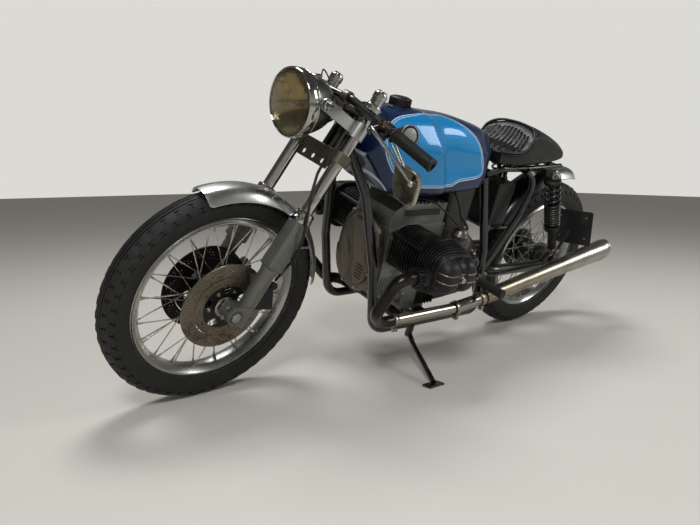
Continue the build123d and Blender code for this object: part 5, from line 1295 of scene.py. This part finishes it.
# %% Carburettors
carburettor_alloy = finish("die_cast_carburettor_alloy", "6b6860", "3f3d38", 0.9, 0.42, 3, 0.06,
    0.5, edge=1.2, edge_worn="cbc7bc", edge_share=0.5)
brass = finish("turned_brass", "a98a4c", "6f5a31", 1.0, 0.32, 3)
made = bmesh.new()
rubber = bmesh.new()
jets = bmesh.new()
for side, middle in CYLINDERS:
    body = Vector((655, side * CARBURETTOR_OUT, CARBURETTOR_HEIGHT))
    turned(made, (700, side * 152, CARBURETTOR_HEIGHT), (-90, -side * 24, 0),
           ((0, 0), (0, 24), (2, 27), (9, 27), (11, 24), (30, 23), (62, 23), (66, 27), (86, 27),
            (88, 25), (93, 25), (93, 0)), 40)
    turned(made, body + Vector((0, 0, -56)), (0, 0, 1), ((0, 0), (0, 12), (3, 15), (5, 24), (8, 27),
        (30, 28), (32, 31), (37, 31), (39, 26), (76, 25), (80, 30), (90, 31), (92, 29), (96, 27),
        (106, 22), (112, 15), (114, 9), (114, 0)), 40)
    slab(made, rounded(74, 60, 14), body + Vector((0, 0, -22)), (1, 0, 0), (0, 1, 0), 5, 1)
    slab(made, rounded(34, 20, 5), body + Vector((0, side * 24, -4)), (-1, 0, 0), (0, 0, 1),
         10 * side, 1.5)
    rod(jets, body + Vector((14, side * 24, -10)), body + Vector((14, side * 34, -10)), 4, 12)
    rod(jets, body + Vector((0, 0, -66)), body + Vector((0, 0, -56)), 7, 6)
    port = middle - 98
    line = bent([(port - 6, side * INLET_OUT, INLET_HEIGHT), (port - 44, side * INLET_OUT,
        INLET_HEIGHT), (696, side * 160, CARBURETTOR_HEIGHT),
        (686, side * 149, CARBURETTOR_HEIGHT)], [24, 30])
    pipe(rubber, line, 19, 24)
    for at in (2, len(line) - 3):
        turned(made, line[at], line[at + 1] - line[at], ((-4, 19), (-4, 21), (4, 21), (4, 19)), 32,
               closed=True)
    pipe(made, eased([body + Vector((0, 0, 58)), body + Vector((2, -side * 2, 74)),
        body + Vector((10, -side * 6, 84))], 6), 3.6, 12)
lay("carburettor_castings", made, [carburettor_alloy], "chassis", 35, ["carburettors"])
lay("intake_rubbers", rubber, [black_rubber], "chassis", 50)
lay("carburettor_jets", jets, [brass], "chassis", 30)
screws = []
for side in (1, -1):
    body = Vector((655, side * CARBURETTOR_OUT, CARBURETTOR_HEIGHT))
    for x in (-30, 30):
        for y in (-23, 23):
            screws.append((body + Vector((x, y, -17)), (0, 0, 1)))
    for a in range(4):
        screws.append((body + Vector((26 * cos(a * pi / 2 + 0.8), 26 * sin(a * pi / 2 + 0.8), 35)),
            (0, 0, 1)))
bolts("carburettor_screws", screws, 8, machined_steel)

# %% Crankcase dressing
# Sand-cast cover, polished years ago and now streaked by hand brushing
front_cover_alloy = finish("streaked_front_cover", "6d675c", "423d36", 0.85, 0.42, 22, 0.02, 0.55,
    stretch=(5, 5, 0.7), edge=3, edge_worn="cfc8b9", edge_share=0.5)
cover_outline = []
for step in range(72):
    angle = tau * step / 72
    low, wide = (128, 106) if sin(angle) < 0 else (142, 100)
    cover_outline.append((wide * abs(cos(angle)) ** 0.8 * (1 if cos(angle) > 0 else -1),
        low * abs(sin(angle)) ** 0.86 * (1 if sin(angle) > 0 else -1)))
front_cover = bmesh.new()
slab(front_cover, cover_outline, (938, 0, 418), (0, 1, 0), (0, 0, 1), 36, 7)
slab(front_cover, [(x * 0.8, z * 0.84) for x, z in cover_outline], (973, 0, 418), (0, 1, 0),
     (0, 0, 1), 10, 5)
# Low slots that cool the coils, right of the middle: black strips stand in for the painted shade inside them
slots = bmesh.new()
for count in range(5):
    slab(slots, rounded(34, 5, 2.4, 3), (981.4, 44, 348 + count * 11), (0, 1, 0), (0, 0, 1), 2.6,
        0.6)
lay("front_cover", front_cover, [front_cover_alloy], "chassis", 40, ["engine_front_cover"])
lay("cover_slots", slots, [black_rubber])
# Ribs that stiffen the case top and flanks, as cast
case_ribs = bmesh.new()
for count in range(7):
    slab(case_ribs, rounded(7, 96, 3, 3), (898 - count * 16, 0, 576), (1, 0, 0), (0, 1, 0), 16, 2.4)
for side in (-1, 1):
    for count in range(6):
        slab(case_ribs, rounded(6, 120, 3, 3), (742 - count * 15, side * 94 - 6 * side, 300),
            (1, 0, 0), (0, 0, 1), -16 * side, 2.4)
lay("case_ribs", case_ribs, [engine_paint])
case_alloy = finish("shot_blasted_case_alloy", "7f827e", "595b57", 0.7, 0.5, 2.5, 0.08, 0.5,
    edge=2.5, edge_worn="77746b", edge_share=0.4)
parts["engine_crankcase"].data.materials[0] = case_alloy
parts["gearbox"].data.materials[0] = finish("oiled_gearbox_alloy", "4c4b47", "2a2926", 0.8, 0.5,
    2.5, 0.08, 0.5, edge=2.5, edge_worn="77746b", edge_share=0.4)
case_bolts = [((974, 92 * cos(radians(a)), 418 + 122 * sin(radians(a))), (1, 0, 0))
    for a in (70, 110, 200, 250, 290, 340)]
case_bolts += on_flanks([(x, 100, z) for x, z in ((925, 300), (925, 400), (925, 505), (815, 290),
    (760, 222), (712, 222), (712, 300))] + [(x, 84, z) for x, z in ((690, 300), (690, 500),
    (600, 260), (520, 258), (500, 420), (560, 480))])
bolts("case_bolts", case_bolts, 13, machined_steel)
plug = bmesh.new()
turned(plug, (983, 62, 492), (1, 0, 0), ((-4, 0), (-4, 12), (4, 12), (6, 10), (6, 5), (3, 4),
    (3, 0)), 28)
strips = bmesh.new()
for side in (-1, 1):
    slab(strips, rounded(150, 20, 2), (808, side * 91, 585), (side, 0, 0), (0, 0, 1), -3.5, 0.6)
lay("cover_plug", plug, [black_rubber])
lay("blank_strips", strips, [black_plastic])
print("engine dressed")

# %% [markdown]
# The exhaust is thin tube bent by hand: smoked where it leaves the ports, brighter where it runs
# straight below the engine. Its silencer is rolled sheet, brushed along its length and straw
# coloured by heat at the front.

# %% Headers and clamps
HEADER, JOINER = 19, 22
smoked = bmesh.new()
bright_run = bmesh.new()
clamps = bmesh.new()
left_line = bent([(958, 285, 464), (1042, 285, 467), (1042, 226, 318), (965, 176, 248),
    (900, 175.6, 246), (600, 175, 246)], [60, 70, 60, 30], 12)
split = next(i for i, p in enumerate(left_line) if p.x < 930 and p.z < 300)
pipe(smoked, left_line[:split + 1], HEADER, 28)
right_line = bent([(920, -285, 464), (1004, -285, 467), (1004, -226, 318), (930, -172, 232),
    (880, -168, 228), (845, -60, 228), (845, 158, 232)], [60, 70, 60, 36, 36], 12)
pipe(smoked, right_line, HEADER, 28)
pipe(bright_run, [left_line[split], (906, 175.6, 246), (760, 175, 246), (600, 175, 246)],
     HEADER, 28)
rod(bright_run, (618, 175, 245), (468, 178, 270), JOINER, 32)
run_way = Vector((-150, 3, 25)).normalized()
for place, way in ((Vector((612, 175, 246)), run_way), (Vector((488, 177.6, 266.5)), run_way),
        (Vector((904, 175.5, 246)), Vector((-1, 0, 0)))):
    size = JOINER if place.x < 700 else HEADER
    turned(clamps, place, way, ((-9, size), (-9, size + 3), (-7, size + 4), (-3, size + 3),
        (3, size + 3), (7, size + 4), (9, size + 3), (9, size)), 36, closed=True)
    slab(clamps, rounded(16, 16, 3), place + Vector((0, 6, -size - 8)), (1, 0, 0), (0, 0, 1), -12,
        1)
smoked_steel = finish("smoked_header_tube", "37332f", "171615", 0.9, 0.34, 9, 0.03, 0.5, 0.12)
bright_steel = finish("worn_bright_header_tube", "a8a296", "6b6357", 1.0, 0.26, 10, 0.02, 0.45, 0.1)
lay("header_bends", smoked, [smoked_steel], "chassis", 50, ["right_header"])
lay("header_run", bright_run, [bright_steel], "chassis", 50, ["left_header"])
lay("exhaust_clamps", clamps, [machined_steel])
bolts("clamp_bolts", [(place, (0, 1, 0)) for place in (
    (612, 190, 216), (488, 192, 236), (904, 188, 219))], 12, machined_steel)

# %% Silencer with a slanted mouth
start, end = Vector((468, 178, 270)), Vector((-186, 203, 416))
axis = (end - start).normalized()
length = (end - start).length
lift = (Vector((0, 0, 1)) - axis * axis.z).normalized()
beside = axis.cross(lift)
silencer = bmesh.new()
profile = [(0, 22.5), (0, 25), (6, 25.6), (34, 26), (36, 27), (40, 27), (44, 26.4),
    (length * 0.3, 29), (length * 0.55, 32.5), (length * 0.8, 37), (length * 0.955, 40),
    (length * 0.96, 41), (length * 0.975, 41), (length * 0.98, 40.2), (length - 6, 40.2),
    (length - 4, 40), (length - 4, 38.5), (length * 0.96, 38.2), (length * 0.84, 36),
    (length * 0.84, 18)]
rings = []
for along, radius in profile:
    slant = 0.5 * ramp(along / length, 0.84, 0.96)
    rings.append([silencer.verts.new(start + lift * radius * cos(tau * s / 64)
        + beside * radius * sin(tau * s / 64) + axis * (along + slant * radius * cos(tau * s / 64)))
        for s in range(64)])
ring_faces(silencer, rings, capped=True)
rod(silencer, (455, 172, 285), (482, 150, 325), 6)

# Rolled stainless sheet: fine brush lines along it, straw colour fading with the heat
rolled, tree, shader = new_material("brushed_rolled_stainless")
heat = attribute(tree, "along")
place = node(tree, "CombineXYZ", X=heat, Y=attribute(tree, "around"))
brushed = node(tree, "Mapping", Vector=place, Scale=(3, 60, 1))
fine = node(tree, "TexNoise", Vector=brushed, Scale=4.0, Detail=4.0)
patch = node(tree, "TexNoise", Vector=node(tree, "TexCoord").outputs["Object"], Scale=14.0,
    Detail=4.0)
faded = node(tree, "MapRange", Value=heat, i1=0.0, i2=0.75)
stained = node(tree, "MapRange", Value=patch, i1=0.45, i2=0.75, i4=0.5)
gloss = node(tree, "MapRange", Value=fine, i1=0.3, i2=0.7, i3=0.2, i4=0.42)
relief = node(tree, "Bump", Strength=0.5, Distance=0.0001, Height=fine)
steel = blend(tree, stained, blend(tree, faded, "9c8f7a", "a9a69e"), "7a7468")
set_inputs(tree, shader, Base_Color=steel, Roughness=gloss, Normal=relief, Metallic=1.0)

mesh = as_mesh("silencer_shell", silencer)
along_values = [(v.co - start).dot(axis) / length for v in mesh.vertices]
around_values = [atan2((v.co - start).dot(beside), -(v.co - start).dot(lift)) / tau
    for v in mesh.vertices]
for title, values in (("along", along_values), ("around", around_values)):
    mesh.attributes.new(title, "FLOAT", "POINT").data.foreach_set("value", values)
lay("silencer_shell", mesh, [rolled], "chassis", 35, ["silencer"])
print("exhaust made")

# %% [markdown]
# A shock spring is a wire on a helix, wound tighter at the bottom, so its pitch follows a rule
# along its height. Its damper shows between the coils.

# %% Shocks
SHOCK_LENGTH = hypot(170, 318)
# Shares of that length where the coils start and end
COILS_LOW, COILS_HIGH = 0.362, 0.893
spring_black = finish("stoved_spring_enamel", "111112", "24221f", 0.0, 0.3, 5, coat=0.4)
springs = bmesh.new()
dampers = bmesh.new()
eyes = bmesh.new()
for side in (-1, 1):
    foot = Vector((62, side * 132, 404))
    way = Vector((170, 0, 318)).normalized()
    across = Vector((0, 1, 0))
    third = way.cross(across)
    line = []
    height, spin = COILS_LOW * SHOCK_LENGTH, 0.0
    while height < COILS_HIGH * SHOCK_LENGTH:
        share = (height / SHOCK_LENGTH - COILS_LOW) / (COILS_HIGH - COILS_LOW)
        pitch = 10.2 if share < 0.42 else 10.2 + 15 * min((share - 0.42) / 0.12, 1)
        line.append(foot + way * (height + 4.5) + (across * cos(spin) + third * sin(spin)) * 27)
        spin += tau / 18
        height += pitch / 18
    pipe(springs, line, 4.3, 8)
    turned(dampers, foot, way, ((8, 0), (8, 14), (12, 17), (60, 17), (62, 15.6), (66, 15.6),
        (68, 17), (106, 17), (108, 30), (112, 31.5), (124, 31.5), (128, 30), (131, 24), (131, 16),
        (200, 16), (202, 9), (322, 9), (324, 29), (327, 31.5), (338, 31.5), (341, 28), (344, 17),
        (352, 16), (352, 0)), 40)
    for place in (foot, foot + way * SHOCK_LENGTH):
        turned(eyes, place, across * side, ((-17, 7), (-17, 16), (-15, 18), (15, 18), (17, 16),
            (17, 7)), 32, closed=True)
        turned(eyes, place, across * side, ((-19, 0), (-19, 8), (22, 8), (22, 11), (25, 11),
            (25, 0)), 24)
lay("shock_coils", springs, [spring_black], "chassis", 60, ["shock_springs"])
lay("shock_bodies", dampers, [engine_paint], "chassis", 40, ["shock_dampers"])
lay("shock_eyes", eyes, [machined_steel])
bolts("shock_bolts", on_flanks([(62, 157, 404), (232, 157, 722)]), 20, machined_steel)

# %% Rear mudguard, pegs and plate fittings
guard("rear_guard", REAR_AXLE + Vector((0, 0, 14)), 372, 66, 24, 72, 0,
      [((150, 0, 676), (150, 0, 736), 8), ((318, 0, 520), (330, 0, 727), 8)], "chassis",
      ["rear_mudguard"], 60)
pegs = bmesh.new()
steel_pegs = bmesh.new()
for side in (-1, 1):
    rod(steel_pegs, mirrored((452, 116, 330), side), mirrored((500, 140, 330), side), 9)
    rod(steel_pegs, mirrored((500, 118, 330), side), mirrored((500, 156, 330), side), 13)
    start = mirrored((500, 154, 330), side)
    way = mirrored((488, 262, 326), side) - start
    profile = [(0, 0), (0, 13), (3, 18), (6, 18)]
    for rib in range(9):
        profile += [(10 + rib * 10, 14.5), (12 + rib * 10, 16.5), (17 + rib * 10, 16.5),
            (19 + rib * 10, 14.5)]
    profile += [(101, 18.5), (106, 19), (109, 16), (109, 0)]
    turned(pegs, start, way, profile, 32)
lay("peg_rubbers", pegs, [black_rubber], "chassis", 40, ["foot_pegs"])
lay("peg_steps", steel_pegs, [machined_steel])
bolts("frame_bolts", on_flanks([(428, 118, 330), (352, 128, 724), (725, 131, 222),
    (785, 131, 222)]), 19, machined_steel)
plate_way = Vector((0, cos(radians(15)), sin(radians(15))))
plate_up = Vector((0, -sin(radians(15)), cos(radians(15))))
plate_middle = Vector((22, 160, 512))
bolts("plate_screws", [(plate_middle + plate_way * x + plate_up * z, (1, 0, 0)) for x in (-55, 55)
    for z in (-40, 40)], 10, machined_steel)
axle_ends = bmesh.new()
for side in (-1, 1):
    turned(axle_ends, (0, side * 126, 324), (0, side, 0), ((0, 0), (0, 17), (3, 17), (3, 0)), 28)
    turned(axle_ends, (0, side * 129, 324), (0, side, 0), ((0, 14), (13, 14), (15, 12), (15, 0)), 6)
lay("rear_axle_nuts", axle_ends, [machined_steel])
print("rear end dressed")

# %% Floor, light and background
floor_mesh = bpy.data.meshes.new("floor")
floor_mesh.from_pydata([(-14, -14, 0), (14, -14, 0), (14, 14, 0), (-14, 14, 0)], [], [(0, 1, 2, 3)])
floor_paint, tree, shader = new_material("pale_studio_floor")
set_inputs(tree, shader, Base_Color=colour("cfccc5"), Roughness=0.8)
floor_mesh.materials.append(floor_paint)
floor = put("floor", floor_mesh)

world = bpy.data.worlds.new("studio")
scene.world = world
world.use_nodes = True
tree = world.node_tree
way_up = node(tree, "SeparateXYZ", Vector=node(tree, "TexCoord").outputs["Generated"])
sky = node(tree, "MapRange", Value=way_up.outputs["Z"], i1=0.08, i2=0.5, i3=0.5, i4=0.1)
rays = node(tree, "LightPath").outputs
seen = math_node(tree, "MAXIMUM", rays["Is Glossy Ray"], rays["Is Transmission Ray"])
light = node(tree, "Mix", i0=seen, i2=0.27, i3=sky)
power = node(tree, "Mix", i0=rays["Is Camera Ray"], i2=light, i3=0.86)
set_inputs(tree, tree.nodes["Background"], Color=colour("ebe9e4"), Strength=power)

# Softboxes: place, aim, size in metres, power in watts
LAMPS = (("key", (2.6, 2.6, 3.4), (0.1, 0, 0.5), 1.1, 95), ("fill", (-2.8, 2.4, 2.2), (0, 0, 0.5),
    1.3, 42), ("top", (0.2, -0.8, 3.6), (0, 0, 0.4), 1.2, 62))
for name, place, aim, size, power in LAMPS:
    data = bpy.data.lights.new(name, "AREA")
    data.size = size
    data.energy = power
    lamp = put(name, data)
    lamp.location = place
    lamp.rotation_euler = (Vector(aim) - Vector(place)).to_track_quat("-Z", "Y").to_euler()

# %% Colour view
scene.view_settings.view_transform = "Standard"
